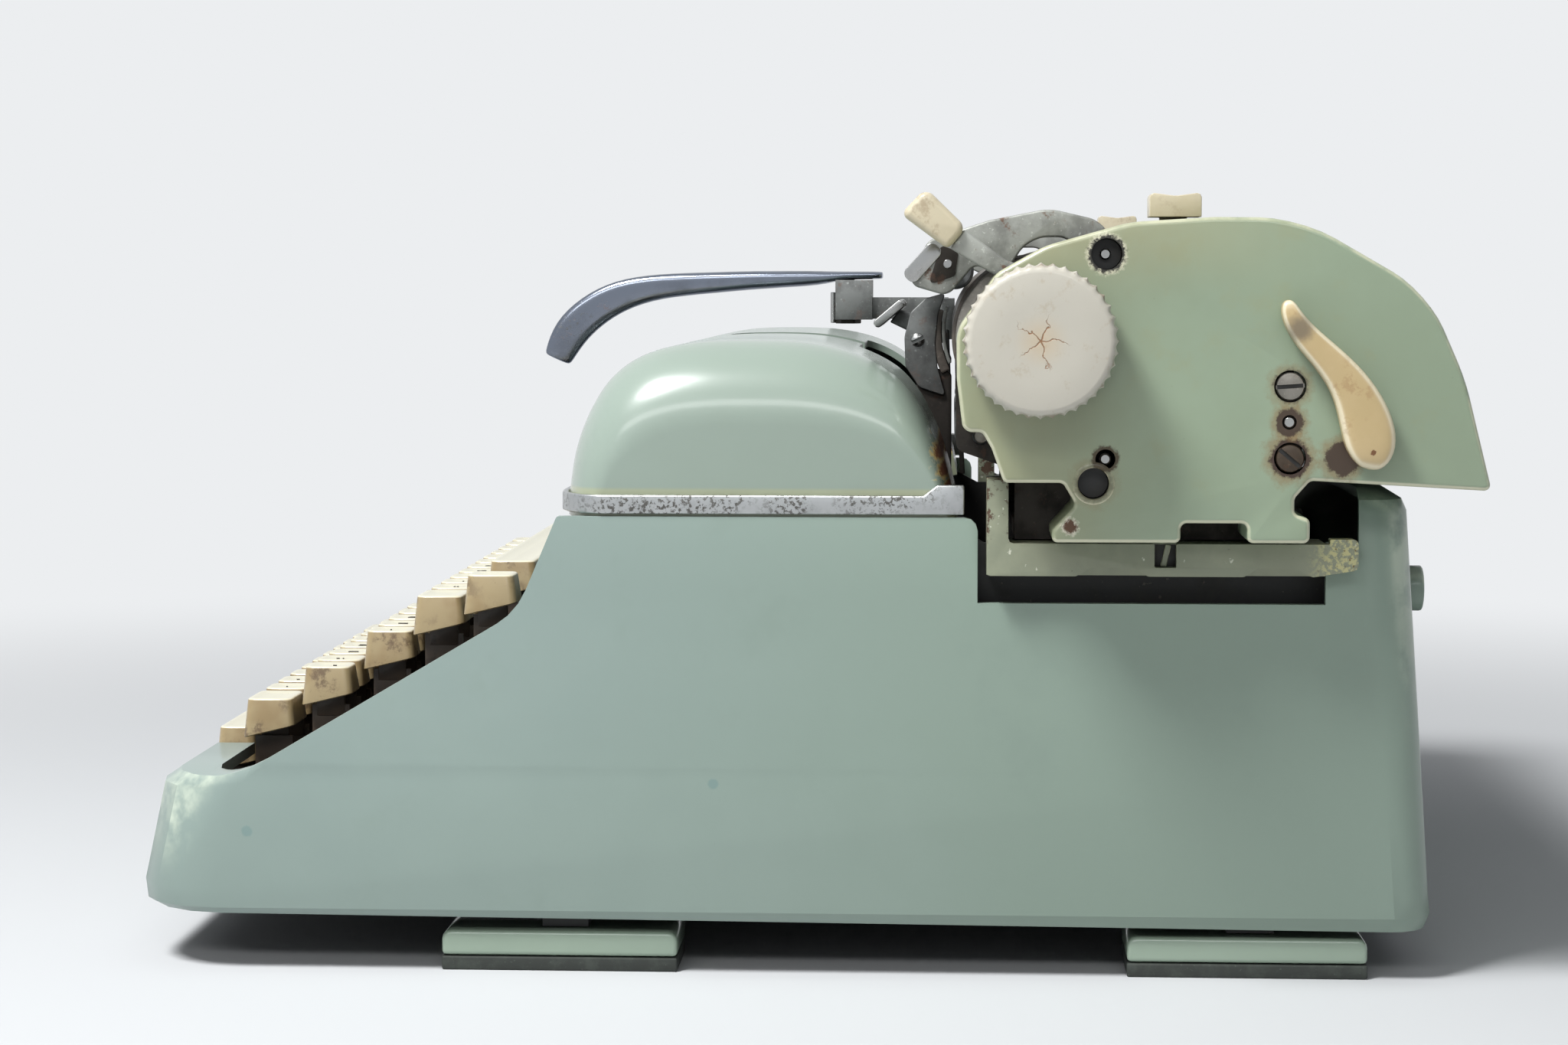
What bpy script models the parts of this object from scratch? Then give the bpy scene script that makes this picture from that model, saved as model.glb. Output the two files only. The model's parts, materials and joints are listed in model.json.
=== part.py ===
"""Manual typewriter: painted body, hinged ribbon cover, sliding carriage and a full keyboard.

Metres, +Z up. The typist sits at -Y, the carriage is at +Y, +X is the typist's right hand.
The origin is the bottom centre of the machine's box, on the surface that it stands on.
"""

from math import acos, atan2, ceil, cos, pi, radians, sin, tan

import bmesh
import bpy
from mathutils import Matrix, Vector

# Whole machine
DEPTH = 0.403
FRONT_Y = -DEPTH / 2
GAP = 0.0003
RUNNING = 0.0005
OVERRUN = 0.003
ARC_STEPS = 4
ROUND_SIDES = 20
SMALL_SIDES = 12
CORNER_REACH_SHARE = 0.48
PADDED_STEPS = 2
FILLET_SAG = 0.00015

# Feet
PAD_HEIGHT = 0.0042
SHOE_HEIGHT = 0.0080
FOOT_LENGTH = 0.0715
FOOT_WIDTH = 0.030
FOOT_ROUND = 0.003
FOOT_INSET = 0.004
FRONT_FOOT_SETBACK = 0.0952
REAR_FOOT_INSET = 0.0192
SPACER_LENGTH = 0.014
SPACER_WIDTH = 0.012
SPACER_SETBACK_SHARE = 0.42

# Body shell
BODY_WIDTH = 0.330
BODY_DEPTH = 0.3925
BODY_WALL = 0.003
BODY_BASE_Z = 0.0161
BASE_TILT_SHARE = 0.0065
DECK_HEIGHT = 0.1309
APRON_HEIGHT = 0.0425
APRON_DEPTH = 0.0235
APRON_LEAN = 0.0100
APRON_CAP = 0.0035
APRON_RECESS_DEPTH = 0.0180
BODY_DRAFT = 0.0015
UNDERSIDE_ROUND = 0.003
FRONT_CORNER = 0.026
REAR_CORNER = 0.012
REAR_LEAN = 0.0084
DECK_ROUND = 0.007
WALL_TOP_DROP = 0.0090
SLOPE_FOOT_SETBACK = 0.0335
SLOPE_HEAD_SETBACK = 0.1190
SLOPE_HEAD_RISE = 0.0505
SLOPE_FOOT_ROUND = 0.040
SLOPE_HEAD_ROUND = 0.022
BAND_HEIGHT = 0.023
BAND_DROP = 0.005

# Carriage notches in the side walls, and the trays that line them
NOTCH_SETBACK = 0.2566
NOTCH_LENGTH = 0.1025
NOTCH_DEPTH = 0.0344
NOTCH_STEP = 0.0095
NOTCH_ROUND = 0.004
TRAY_SETBACK = 0.0026
TRAY_LENGTH = 0.1085
TRAY_HEIGHT = 0.0282
TRAY_LIFT = 0.0088
TRAY_PROUD = 0.006
TRAY_FLANGE = 0.0063
TRAY_TOP_SHARE = 0.340

# Ribbon cover and its trim
COVER_SETBACK = 0.1322
COVER_LENGTH = 0.1186
COVER_HEIGHT = 0.0510
COVER_LIFT = 0.0010
COVER_SHELL = 0.0022
COVER_SHOULDER = 0.025
COVER_CORNER = 0.012
COVER_REAR_CORNER = 0.003
COVER_SIDE_INSET = 0.003
TRIM_HEIGHT = 0.0056
TRIM_THICKNESS = 0.0018
TRIM_LIFT_RISE = 0.0032
TRIM_LIFT_LENGTH = 0.012
MOUTH_HALF_WIDTH = 0.062
MOUTH_SETBACK = 0.040
HINGE_BACK = 0.0070
HINGE_RISE = 0.0015
HINGE_PIN_RADIUS = 0.0013
HINGE_PIN_LENGTH = 0.010
HINGE_LUG_RADIUS = 0.0032
HINGE_OFFSET = 0.108
HINGE_POST_DEPTH = 0.003
HINGE_POST_DROP = 0.0082

# Base frame, rails and bottom
BOTTOM_SHEET = 0.002
SIDE_PLATE = 0.003
SIDE_PLATE_INSET = 0.0135
FRAME_CLEAR = 0.0035
BEAM_DEPTH = 0.020
BEAM_HEIGHT = 0.013
CROSS_DEPTH = 0.004
LEG_BEAM_DEPTH = 0.008
RAIL_WIDTH = 0.008
RAIL_HEIGHT = 0.0088
FRONT_RAIL_SETBACK = 0.2715
REAR_RAIL_SETBACK = 0.3395
SPOOL_DECK = 0.0025

# Carriage
PLATEN_LENGTH = 0.300
PLATEN_RADIUS = 0.025
PLATEN_SETBACK = 0.0171
PLATEN_HEIGHT_ABOVE_RAILS = 0.060
SHAFT_RADIUS = 0.004
PLATE_PLAY = 0.005
END_PLATE = 0.004
BASE_PLATE = 0.0035
TRUCK_WIDTH = 0.040
TRUCK_THICKNESS = 0.004
TRUCK_DROP = 0.008
CARRIAGE_TRAVEL = 0.125
PLATE_LENGTH = 0.0995

# End covers
END_COVER_LENGTH = 0.153
END_COVER_HEIGHT = 0.0934
END_COVER_SETBACK = -0.0066
END_COVER_LIFT = 0.0018
END_COVER_OVERHANG = 0.019
END_COVER_SHELL = 0.0024
END_COVER_ROUND = 0.0025
REAR_SHEET = 0.0018
PIN_HOLE_RADIUS = 0.0045
SMALL_HOLE_RADIUS = 0.0029
HUB_HOLE_RADIUS = 0.0105
SCREW_HEAD_RADIUS = 0.0041
SCREW_POST_RADIUS = 0.0025
SCREW_SLOT = 0.0012
COVER_STRIP = 0.003
COVER_STRIP_WIDTH = 0.0075
GUIDE_PIN_RADIUS = 0.0016

# Knobs
KNOB_RADIUS = 0.022
KNOB_THICKNESS = 0.0195
KNOB_STANDOFF = 0.0025
KNOB_TOOTH = 0.0009
KNOB_TEETH = 32
KNOB_FACE_INSET = 0.0026
KNOB_HUB_RADIUS = 0.009
KNOB_BORE_DEPTH = 0.012
RATCHET_RADIUS = 0.016
RATCHET_THICKNESS = 0.004
RATCHET_TEETH = 24
RATCHET_TOOTH = 0.0015

# Paper feed
ROLLER_RADIUS = 0.008
ROLLER_HALF_LENGTH = 0.120
ROLLER_DROP_ANGLE = radians(61)
ROLLER_SHAFT_RADIUS = 0.0022
COLLAR_RADIUS = 0.0037
COLLAR_WIDTH = 0.004
COLLAR_SPACING = 0.009
TROUGH_GAP = 0.0012
TROUGH_SHEET = 0.0012
TROUGH_HALF_ANGLE = radians(16)
TABLE_SHEET = 0.0016
TABLE_FOOT_BACK = 0.0278
TABLE_HEAD_BACK = 0.0500
TABLE_FOOT_DROP = 0.0012
TABLE_HEAD_RISE = 0.0300

# Paper bail
BAIL_PIVOT_BACK = 0.0198
BAIL_PIVOT_RISE = 0.0208
BAIL_REACH = 0.058
BAIL_RISE = 0.026
BAIL_ARM = 0.004
BAIL_PIN_RADIUS = 0.0018
BAIL_ROD_RADIUS = 0.0014
BAIL_ROD_FORWARD = 0.0240
BAIL_ROD_RISE = 0.0200
BAIL_ROLLER_RADIUS = 0.0058
BAIL_ROLLER_LENGTH = 0.022
BAIL_ROLLER_SPACING = 0.095
BAIL_BAR_LENGTH = 0.0125
BAIL_BAR_THICKNESS = 0.0036
BAIL_BAR_FORWARD = 0.0337
BAIL_BAR_RISE = 0.0223
BAIL_BAR_TILT = radians(48)

# Card guides
GUIDE_CLEAR = 0.0022
GUIDE_SHEET = 0.0012
GUIDE_GAP = 0.014
GUIDE_WIDTH = 0.022
GUIDE_TOP_ANGLE = radians(163)
GUIDE_BOTTOM_ANGLE = radians(203)
GUIDE_LEG_WIDTH = 0.008
GUIDE_ARM_WIDTH = 0.005
SCALE_FORWARD = 0.0462
SCALE_RISE = 0.0058
SCALE_LENGTH = 0.0125
SCALE_THICKNESS = 0.003
SCALE_TILT = radians(40)

# Levers and buttons
LEVER_SIDE_OFFSET = 0.005
LEVER_FORWARD = 0.0672
LEVER_LENGTH = 0.1185
LEVER_DROP = 0.034
LEVER_RISE = 0.0190
LEVER_PIN_RADIUS = 0.0025
BRACKET_WIDTH = 0.014
BRACKET_DEPTH = 0.0150
BRACKET_ARM_HEIGHT = 0.009
BRACKET_CLEARANCE = 0.0023
BRACKET_CROSS_DROP = 0.0073
BRACKET_CROSS_DEPTH = 0.005
PAPER_RELEASE_ARM = 0.004
PAPER_RELEASE_BACK = 0.0118
PAPER_RELEASE_RISE = 0.0088
PAPER_RELEASE_REACH = 0.052
PAPER_RELEASE_HEIGHT = 0.035
PAPER_RELEASE_PIN = 0.002
TIP_THICKNESS = 0.009
RELEASE_BACK = 0.0939
RELEASE_DROP = 0.0304
RELEASE_LENGTH = 0.0344
RELEASE_HEIGHT = 0.0506
RELEASE_THICKNESS = 0.008
RELEASE_PIN_RADIUS = 0.0025
BUTTON_LENGTH = 0.015
BUTTON_WIDTH = 0.013
BUTTON_HEIGHT = 0.0071
BUTTON_BACK = 0.0323
BUTTON_TRAVEL = 0.004
BUTTON_STEM_LENGTH = 0.022
BUTTON_STEM_WIDTH = 0.003
BUTTON_STEM_DEPTH = 0.008

# Type basket
TYPE_BAR_LENGTH = 0.0711
TYPE_BAR_DEPTH = 0.005
TYPE_BAR_SHEET = 0.0012
TYPE_BAR_COUNT = 29
TYPE_FAN_ANGLE = radians(50)
STRIKE_SLOPE = radians(68.1)
STRIKE_TURN = radians(106.9)
STRIKE_SHORT = 0.0027
STRIKE_DROP = 0.0012
SLUG_WIDTH = 0.0030
SLUG_LENGTH = 0.004
SLUG_BACK = 0.0035
SLUG_FACE = 0.0020
SEGMENT_INNER = 0.003
SEGMENT_OUTER = 0.014
SEGMENT_THICKNESS = 0.009
SEGMENT_LUG = 0.004
TYPE_WIRE_RADIUS = 0.0007
TYPE_HEEL = 0.0016

# Ribbon spools and spring drum
SPOOL_RADIUS = 0.027
SPOOL_HEIGHT = 0.013
SPOOL_FLANGE = 0.0012
SPOOL_CORE = 0.011
SPOOL_BORE = 0.0030
SPOOL_POST = 0.0024
SPOOL_OFFSET = 0.116
SPOOL_SETBACK = 0.0573
DRUM_RADIUS = 0.025
DRUM_WIDTH = 0.009
DRUM_OFFSET = 0.080
DRUM_AXLE_RADIUS = 0.003
CAP_RADIUS = 0.007
CAP_THICKNESS = 0.0065
CAP_OFFSET = 0.120
CAP_HEIGHT_SHARE = 0.745

# Keyboard
KEY_PITCH = 0.019
KEY_WIDTH = 0.0158
KEY_DEPTH = 0.0165
KEY_TOP_INSET = 0.0012
KEY_CORNER = 0.0022
KEY_HEIGHTS = (0.0125, 0.0085)
FIRST_ROW_SETBACK = 0.0240
FIRST_ROW_TOP = 0.0755
STEM_SHEET = 0.0012
STEM_DEPTH = 0.012
STEM_GRIP = 0.004
LEVER_BAR_HEIGHT = 0.0065
LEVER_FORK = 0.003
ROW_BAR_SIZE = 0.0028
ROW_BAR_DROP = 0.0018
ROW_BAR_SPACING = 0.006
LEVER_SHAFT_RADIUS = 0.003
LEVER_SHAFT_SETBACK = 0.3515
LEVER_SHAFT_RISE = 0.0105
COMB_SETBACK = 0.1460
COMB_DEPTH = 0.006
COMB_HEIGHT = 0.006
SPACE_BAR_LENGTH = KEY_PITCH * 8.737
SPACE_BAR_DEPTH = 0.0135
SPACE_BAR_STEM = 0.008
SPACE_BAR_SETBACK = 0.0085
SPACE_BAR_TOP = 0.0625
SPACE_BAR_HEIGHT = 0.0140
TAB_BAR_LENGTH = KEY_PITCH * 10
WIDE_KEY = 0.0235
STRIKE_ROW, STRIKE_INDEX = 1, 5
ROW_RISES = (0.0, 0.0105, 0.0215, 0.0345, 0.0430)

# Outlines as shares of the length and the height of the piece: along, up, corner radius by height
END_COVER_SHARES = (
    (0.090, 0.184, 0.005), (0.067, 0.289, 0.043), (0.049, 0.340, 0.021), (0.013, 0.340, 0.032),
    (0.001, 0.503, 0.107), (0.000, 0.653, 0.107), (0.075, 0.830, 0.086), (0.167, 0.913, 0.214),
    (0.324, 0.985, 0.321), (0.480, 1.000, 0.321), (0.637, 0.998, 0.482), (0.876, 0.771, 0.375),
    (0.948, 0.503, 0.642), (1.000, 0.163, 0.013), (0.663, 0.193, 0.021), (0.634, 0.139, 0.021),
    (0.634, 0.091, 0.016), (0.663, 0.075, 0.016), (0.663, 0.000, 0.021), (0.546, 0.000, 0.005),
    (0.546, 0.061, 0.011), (0.422, 0.061, 0.011), (0.422, 0.000, 0.005), (0.181, 0.000, 0.016),
    (0.181, 0.037, 0.016), (0.225, 0.118, 0.021), (0.201, 0.184, 0.021),
)
REAR_SHEET_SHARES = (
    (0.490, 1.000, 0.000), (0.637, 0.998, 0.482), (0.876, 0.771, 0.375), (0.948, 0.503, 0.642),
    (1.000, 0.163, 0.000),
)
END_PLATE_SHARES = (
    (0.176, 0.000, 0.000), (0.176, 0.221, 0.032), (0.000, 0.286, 0.032), (0.000, 0.654, 0.086),
    (0.116, 0.827, 0.065), (0.357, 0.940, 0.065), (0.618, 0.940, 0.022), (0.780, 1.000, 0.011),
    (0.800, 0.632, 0.086), (1.000, 0.590, 0.032), (1.000, 0.000, 0.000),
)
BAIL_ARM_SHARES = (
    (-1.000, -0.192, 0.115), (-0.897, 0.308, 0.154), (-0.586, 0.538, 0.462), (-0.276, 0.673, 0.538),
    (-0.017, 0.538, 0.308), (0.121, 0.038, 0.231), (0.000, -0.269, 0.231), (-0.121, -0.115, 0.231),
    (-0.138, 0.346, 0.231), (-0.379, 0.346, 0.385), (-0.483, -0.019, 0.096), (-0.586, -0.038, 0.096),
    (-0.655, 0.038, 0.115), (-0.793, -0.327, 0.154),
)
RELEASE_LEVER_SHARES = (
    (-0.741, 0.755, 0.099), (-0.497, 0.458, 0.296), (-0.221, 0.202, 0.237), (-0.177, -0.154, 0.138),
    (0.259, -0.154, 0.146), (0.244, 0.132, 0.237), (-0.032, 0.419, 0.395), (-0.468, 0.636, 0.158),
    (-0.608, 0.844, 0.024), (-0.701, 0.846, 0.024),
)
TRAY_SHARES = (
    (0.000, 0.000, 0.035), (0.000, 1.000, 0.035), (0.058, 1.000, 0.035), (0.058, 0.340, 0.053),
    (0.453, 0.340, 0.011), (0.453, 0.092, 0.011), (0.512, 0.092, 0.011), (0.512, 0.340, 0.011),
    (0.924, 0.340, 0.011), (0.924, 0.394, 0.011), (1.000, 0.394, 0.053), (1.000, 0.074, 0.053),
    (0.878, 0.000, 0.035), (0.832, 0.092, 0.106), (0.731, 0.092, 0.106), (0.694, 0.000, 0.035),
    (0.436, 0.000, 0.035), (0.399, 0.092, 0.106), (0.279, 0.092, 0.106), (0.242, 0.000, 0.035),
)
RIBBON_COVER_SHARES = (
    (0.000, 0.000, 0.000), (0.024, 0.373, 0.392), (0.129, 0.784, 0.490), (0.348, 1.000, 0.686),
    (0.618, 1.000, 0.686), (0.837, 0.843, 0.431), (0.938, 0.490, 0.490), (1.000, 0.000, 0.000),
)
PAPER_TIP_SHARES = (
    (-0.996, 0.783, 0.020), (-0.856, 1.003, 0.060), (-0.625, 0.669, 0.060), (-0.731, 0.491, 0.060),
    (-0.962, 0.740, 0.020),
)
PAPER_ARM_SHARES = (
    (-0.720, 0.500, 0.000), (-0.640, 0.660, 0.000), (-0.404, 0.400, 0.200), (0.030, 0.200, 0.120),
    (0.117, -0.037, 0.140), (0.030, -0.177, 0.120), (-0.108, -0.103, 0.120), (-0.462, 0.271, 0.300),
)
LINE_LEVER_SHARES = (
    (-0.110, 1.003, 0.047, 0.055), (0.093, 1.003, 0.047, 0.066), (0.295, 0.968, 0.065, 0.055),
    (0.464, 0.903, 0.124, 0.042), (0.650, 0.879, 0.147, 0.034), (0.785, 0.774, 0.191, 0.027),
    (0.886, 0.574, 0.212, 0.025), (0.962, 0.321, 0.218, 0.025), (1.000, 0.026, 0.176, 0.022),
)
SIDE_PLATE_SHARES = (
    (0.000, 0.000), (1.000, 0.000), (1.000, 0.780), (0.925, 0.925), (0.510, 0.925),
    (0.440, 1.000), (0.090, 1.000), (0.000, 0.600),
)
SCREW_PLACE_SHARES = ((0.623, 0.483), (0.624, 0.262))
GUIDE_PIN_PLACE_SHARES = (0.622, 0.373)
TOP_HOLE_PLACE_SHARES = (0.280, 0.887)
LOW_HOLE_PLACE_SHARES = (0.258, 0.183)
SMALL_HOLE_PLACE_SHARES = (0.280, 0.258)

# Places that follow from the sizes above
HALF_WIDTH = BODY_WIDTH / 2
DECK_Z = BODY_BASE_Z + DECK_HEIGHT
APRON_Z = BODY_BASE_Z + APRON_HEIGHT
WALL_TOP_Z = DECK_Z - WALL_TOP_DROP
BODY_REAR_Y = FRONT_Y + BODY_DEPTH
WELL_FRONT_Y = FRONT_Y + APRON_DEPTH
COVER_FRONT_Y = FRONT_Y + COVER_SETBACK
COVER_REAR_Y = COVER_FRONT_Y + COVER_LENGTH
COVER_BASE_Z = WALL_TOP_Z + COVER_LIFT
NOTCH_FRONT_Y = FRONT_Y + NOTCH_SETBACK
NOTCH_REAR_Y = NOTCH_FRONT_Y + NOTCH_LENGTH
NOTCH_Z = DECK_Z - NOTCH_DEPTH
TRAY_FRONT_Y = NOTCH_FRONT_Y + TRAY_SETBACK
TRAY_Z = NOTCH_Z + TRAY_LIFT
TRAY_TOP_Z = TRAY_Z + TRAY_HEIGHT * TRAY_TOP_SHARE
TRAY_FACE_X = HALF_WIDTH + TRAY_PROUD
SIDE_PLATE_X = HALF_WIDTH - BODY_WALL - SIDE_PLATE_INSET
BOTTOM_Z = BODY_BASE_Z + FRAME_CLEAR
RAIL_TOP_Z = TRAY_TOP_Z + GAP / 3
CARRIAGE_BASE_Z = RAIL_TOP_Z + GAP
PLATEN_Y = TRAY_FRONT_Y + PLATEN_SETBACK - TRAY_SETBACK
PLATEN_Z = RAIL_TOP_Z + PLATEN_HEIGHT_ABOVE_RAILS
PLATEN_HALF = PLATEN_LENGTH / 2
PLATE_IN_X = PLATEN_HALF + PLATE_PLAY
PLATE_OUT_X = PLATE_IN_X + END_PLATE
RIM_X = PLATE_OUT_X + GAP
COVER_FACE_X = TRAY_FACE_X + END_COVER_OVERHANG
END_COVER_Y = NOTCH_FRONT_Y + END_COVER_SETBACK
END_COVER_Z = TRAY_TOP_Z + END_COVER_LIFT
PLATE_Y = END_COVER_Y
PLATE_HEIGHT = END_COVER_Z + END_COVER_HEIGHT - REAR_SHEET - GAP - CARRIAGE_BASE_Z
COVER_TOP_Z = COVER_BASE_Z + COVER_HEIGHT
KNOB_BACK_X = COVER_FACE_X + KNOB_STANDOFF
KNOB_FACE_X = KNOB_BACK_X + KNOB_THICKNESS
FRONT_RAIL_Y = FRONT_Y + FRONT_RAIL_SETBACK
REAR_RAIL_Y = FRONT_Y + REAR_RAIL_SETBACK
HINGE_Y = COVER_FRONT_Y + HINGE_BACK - COVER_SHELL
HINGE_Z = COVER_BASE_Z + HINGE_RISE
SHAFT_Y = FRONT_Y + LEVER_SHAFT_SETBACK
SHAFT_Z = BOTTOM_Z + BOTTOM_SHEET + LEVER_SHAFT_RISE
LEVER_LOW_Z = SHAFT_Z + LEVER_SHAFT_RADIUS + GAP
LEVER_HIGH_Z = LEVER_LOW_Z + LEVER_BAR_HEIGHT
PRINT_POINT = Vector((0, PLATEN_Y - PLATEN_RADIUS - STRIKE_SHORT, PLATEN_Z - STRIKE_DROP))
STRIKE_UP = Vector((0, cos(STRIKE_SLOPE), sin(STRIKE_SLOPE)))
BASKET_OUT = Vector((0, -sin(STRIKE_SLOPE), cos(STRIKE_SLOPE)))
SPOOL_Y = COVER_FRONT_Y + SPOOL_SETBACK
SPOOL_DECK_Z = WALL_TOP_Z + SPOOL_DECK


# Outlines

def placed(shares, origin, size):
    """Corners (a, b, radius) of an outline given as shares of its length and height."""
    return [(origin[0] + a * size[0], origin[1] + b * size[1], r * size[1]) for a, b, r in shares]


def fillet_steps(turn, radius):
    """The fewest steps that keep an arc's chords within FILLET_SAG of it."""
    widest = 2 * acos(max(1 - FILLET_SAG / radius, 0))
    return min(max(ceil(abs(turn) / widest), 1), ARC_STEPS)


def filleted(corners, fixed_steps=None):
    """Turns corners (a, b, radius) into points, each corner with a radius as an arc.

    The arcs take as few steps as their size allows, unless a number of steps is given.
    """
    points = []
    for index, (a, b, radius) in enumerate(corners):
        here = Vector((a, b))
        if radius == 0:
            points.append(here)
            continue
        before = Vector(corners[index - 1][:2]) - here
        after = Vector(corners[(index + 1) % len(corners)][:2]) - here
        half = before.angle(after) / 2
        reach = min(radius / tan(half), min(before.length, after.length) * CORNER_REACH_SHARE)
        start = here + before.normalized() * reach
        end = here + after.normalized() * reach
        inward = (before.normalized() + after.normalized()).normalized()
        centre = here + inward * (reach / cos(half))
        arm = start - centre
        goal = end - centre
        turn = atan2(arm.x * goal.y - arm.y * goal.x, arm.dot(goal))
        steps = fixed_steps or fillet_steps(turn, arm.length)
        for step in range(steps + 1):
            points.append(centre + Matrix.Rotation(turn * step / steps, 2) @ arm)
    return points


def inset(corners, distance):
    """Moves each side of a closed outline inwards; convex corners lose radius, others gain it."""
    count = len(corners)
    places = [Vector(corner[:2]) for corner in corners]
    area = sum(places[i - 1].cross(places[i]) for i in range(count))
    side = 1 if area > 0 else -1
    moved = []
    for index, (a, b, radius) in enumerate(corners):
        came = (places[index] - places[index - 1]).normalized()
        goes = (places[(index + 1) % count] - places[index]).normalized()
        normal_in = Vector((-came.y, came.x)) * side
        normal_out = Vector((-goes.y, goes.x)) * side
        shift = (normal_in + normal_out) / (1 + normal_in.dot(normal_out)) * distance
        convex = came.cross(goes) * side > 0
        changed = radius - distance if convex else radius + distance
        moved.append((a + shift.x, b + shift.y, max(changed, radius * CORNER_REACH_SHARE)))
    return moved


def arc(centre, radius, start, end, steps):
    """Points on a circle, for an outline without fillets."""
    angles = [start + (end - start) * step / steps for step in range(steps + 1)]
    return [(centre[0] + radius * cos(t), centre[1] + radius * sin(t), 0) for t in angles]


# Solids

AXIS_PLACES = {
    "X": lambda point, level: Vector((level, point[0], point[1])),
    "Y": lambda point, level: Vector((point[0], level, point[1])),
    "Z": lambda point, level: Vector((point[0], point[1], level)),
}


def loft(rings, closed=False):
    """A closed solid through rings of equal point counts, capped unless the rings close up."""
    solid = bmesh.new()
    rows = [[solid.verts.new(point) for point in ring] for ring in rings]
    spans = list(zip(rows, rows[1:]))
    if closed:
        spans.append((rows[-1], rows[0]))
    for low, high in spans:
        for index in range(len(low)):
            after = (index + 1) % len(low)
            solid.faces.new((low[index], low[after], high[after], high[index]))
    if not closed:
        solid.faces.new(rows[0])
        solid.faces.new(rows[-1])
    bmesh.ops.recalc_face_normals(solid, faces=solid.faces)
    return solid


def prism(corners, low, high, axis="X"):
    """An outline drawn out along an axis."""
    points = filleted(corners)
    return loft([[AXIS_PLACES[axis](point, level) for point in points] for level in (low, high)])


def padded(corners, stations):
    """An outline along X with an inset of its own at each station, for rounded edges."""
    rings = []
    for level, distance in stations:
        ring = inset(corners, distance) if distance else corners
        rings.append([AXIS_PLACES["X"](point, level) for point in filleted(ring, PADDED_STEPS)])
    return loft(rings)


def box(low, high):
    """A block between two opposite corners."""
    corners = [(low[0], low[1], 0), (high[0], low[1], 0), (high[0], high[1], 0), (low[0], high[1], 0)]
    return prism(corners, low[2], high[2], "Z")


def rod(start, end, radius, sides=SMALL_SIDES):
    """A round bar between two points."""
    start, end = Vector(start), Vector(end)
    turn = Vector((0, 0, 1)).rotation_difference(end - start).to_matrix()
    circle = [turn @ Vector((cos(a), sin(a), 0)) for a in (2 * pi * i / sides for i in range(sides))]
    return loft([[point + spoke * radius for spoke in circle] for point in (start, end)])


def turned(profile, centre, axis, sides=ROUND_SIDES):
    """A ring turned about an axis from a closed profile of (along, radius) pairs."""
    centre = Vector(centre)
    turn = Vector((0, 0, 1)).rotation_difference(Vector(axis)).to_matrix()
    rings = []
    for index in range(sides):
        angle = 2 * pi * index / sides
        rings.append([centre + turn @ Vector((r * cos(angle), r * sin(angle), a)) for a, r in profile])
    return loft(rings, closed=True)


# Objects

def body(name, pivot, parent=None):
    """An empty on a joint's axis, which carries the pieces that move together."""
    empty = bpy.data.objects.new(name, None)
    bpy.context.scene.collection.objects.link(empty)
    empty["pivot"] = tuple(pivot)
    empty.parent = parent
    start = Vector(parent["pivot"]) if parent else Vector((0, 0, 0))
    empty.location = Vector(pivot) - start
    return empty


def finish_material(name, colour, roughness, metallic):
    """A Principled material with the piece's own colour."""
    material = bpy.data.materials.new(name)
    material.use_nodes = True
    shader = material.node_tree.nodes["Principled BSDF"]
    shader.inputs["Base Color"].default_value = (*colour, 1)
    shader.inputs["Roughness"].default_value = roughness
    shader.inputs["Metallic"].default_value = metallic
    return material


def mesh_object(name, solids, pivot):
    """One object from solids that lie apart, with its mesh measured from the pivot."""
    whole = bmesh.new()
    for solid in solids:
        shell = bpy.data.meshes.new(name)
        solid.to_mesh(shell)
        solid.free()
        whole.from_mesh(shell)
        bpy.data.meshes.remove(shell)
    bmesh.ops.translate(whole, vec=-pivot, verts=whole.verts)
    mesh = bpy.data.meshes.new(name)
    whole.to_mesh(mesh)
    whole.free()
    mesh.shade_smooth()
    mesh.set_sharp_from_angle(angle=radians(35))
    made = bpy.data.objects.new(name, mesh)
    bpy.context.scene.collection.objects.link(made)
    return made


def join(*operands):
    """A step of piece(): unites each operand, a solid or a list of solids that lie apart."""
    return "UNION", operands


def cut(*operands):
    """A step of piece(): takes each operand away."""
    return "DIFFERENCE", operands


def piece(name, finish, solid, *steps, carrier=None):
    """A named sub-part: one solid, changed by joins and cuts in the order given."""
    pivot = Vector(carrier["pivot"]) if carrier else Vector((0, 0, 0))
    made = mesh_object(name, [solid], pivot)
    made.parent = carrier
    made.data.materials.append(finish_material(name + "_finish", *finish))
    for operation, operands in steps:
        for operand in operands:
            solids = operand if isinstance(operand, list) else [operand]
            tool = mesh_object(f"{name}_{operation.lower()}", solids, pivot)
            tool.parent = carrier
            tool.hide_render = True
            tool.display_type = "WIRE"
            step = made.modifiers.new(tool.name, "BOOLEAN")
            step.operation = operation
            step.object = tool
            step.solver = "EXACT"
    return made


# Finishes: colour, roughness, metallic

SAGE = ((0.27, 0.36, 0.33), 0.35, 0.0)
SAGE_WARM = ((0.27, 0.36, 0.27), 0.35, 0.0)
SAGE_WORN = ((0.25, 0.29, 0.21), 0.5, 0.0)
BLACK_METAL = ((0.02, 0.02, 0.02), 0.5, 0.4)
DARK_STEEL = ((0.10, 0.095, 0.09), 0.45, 0.8)
STEEL = ((0.42, 0.41, 0.39), 0.35, 1.0)
CHROME = ((0.62, 0.64, 0.66), 0.18, 1.0)
ZINC = ((0.30, 0.31, 0.30), 0.45, 1.0)
RUBBER = ((0.03, 0.033, 0.032), 0.75, 0.0)
IVORY = ((0.58, 0.55, 0.45), 0.35, 0.0)
TAN = ((0.58, 0.44, 0.25), 0.35, 0.0)
KNOB_WHITE = ((0.55, 0.53, 0.48), 0.4, 0.0)
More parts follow.
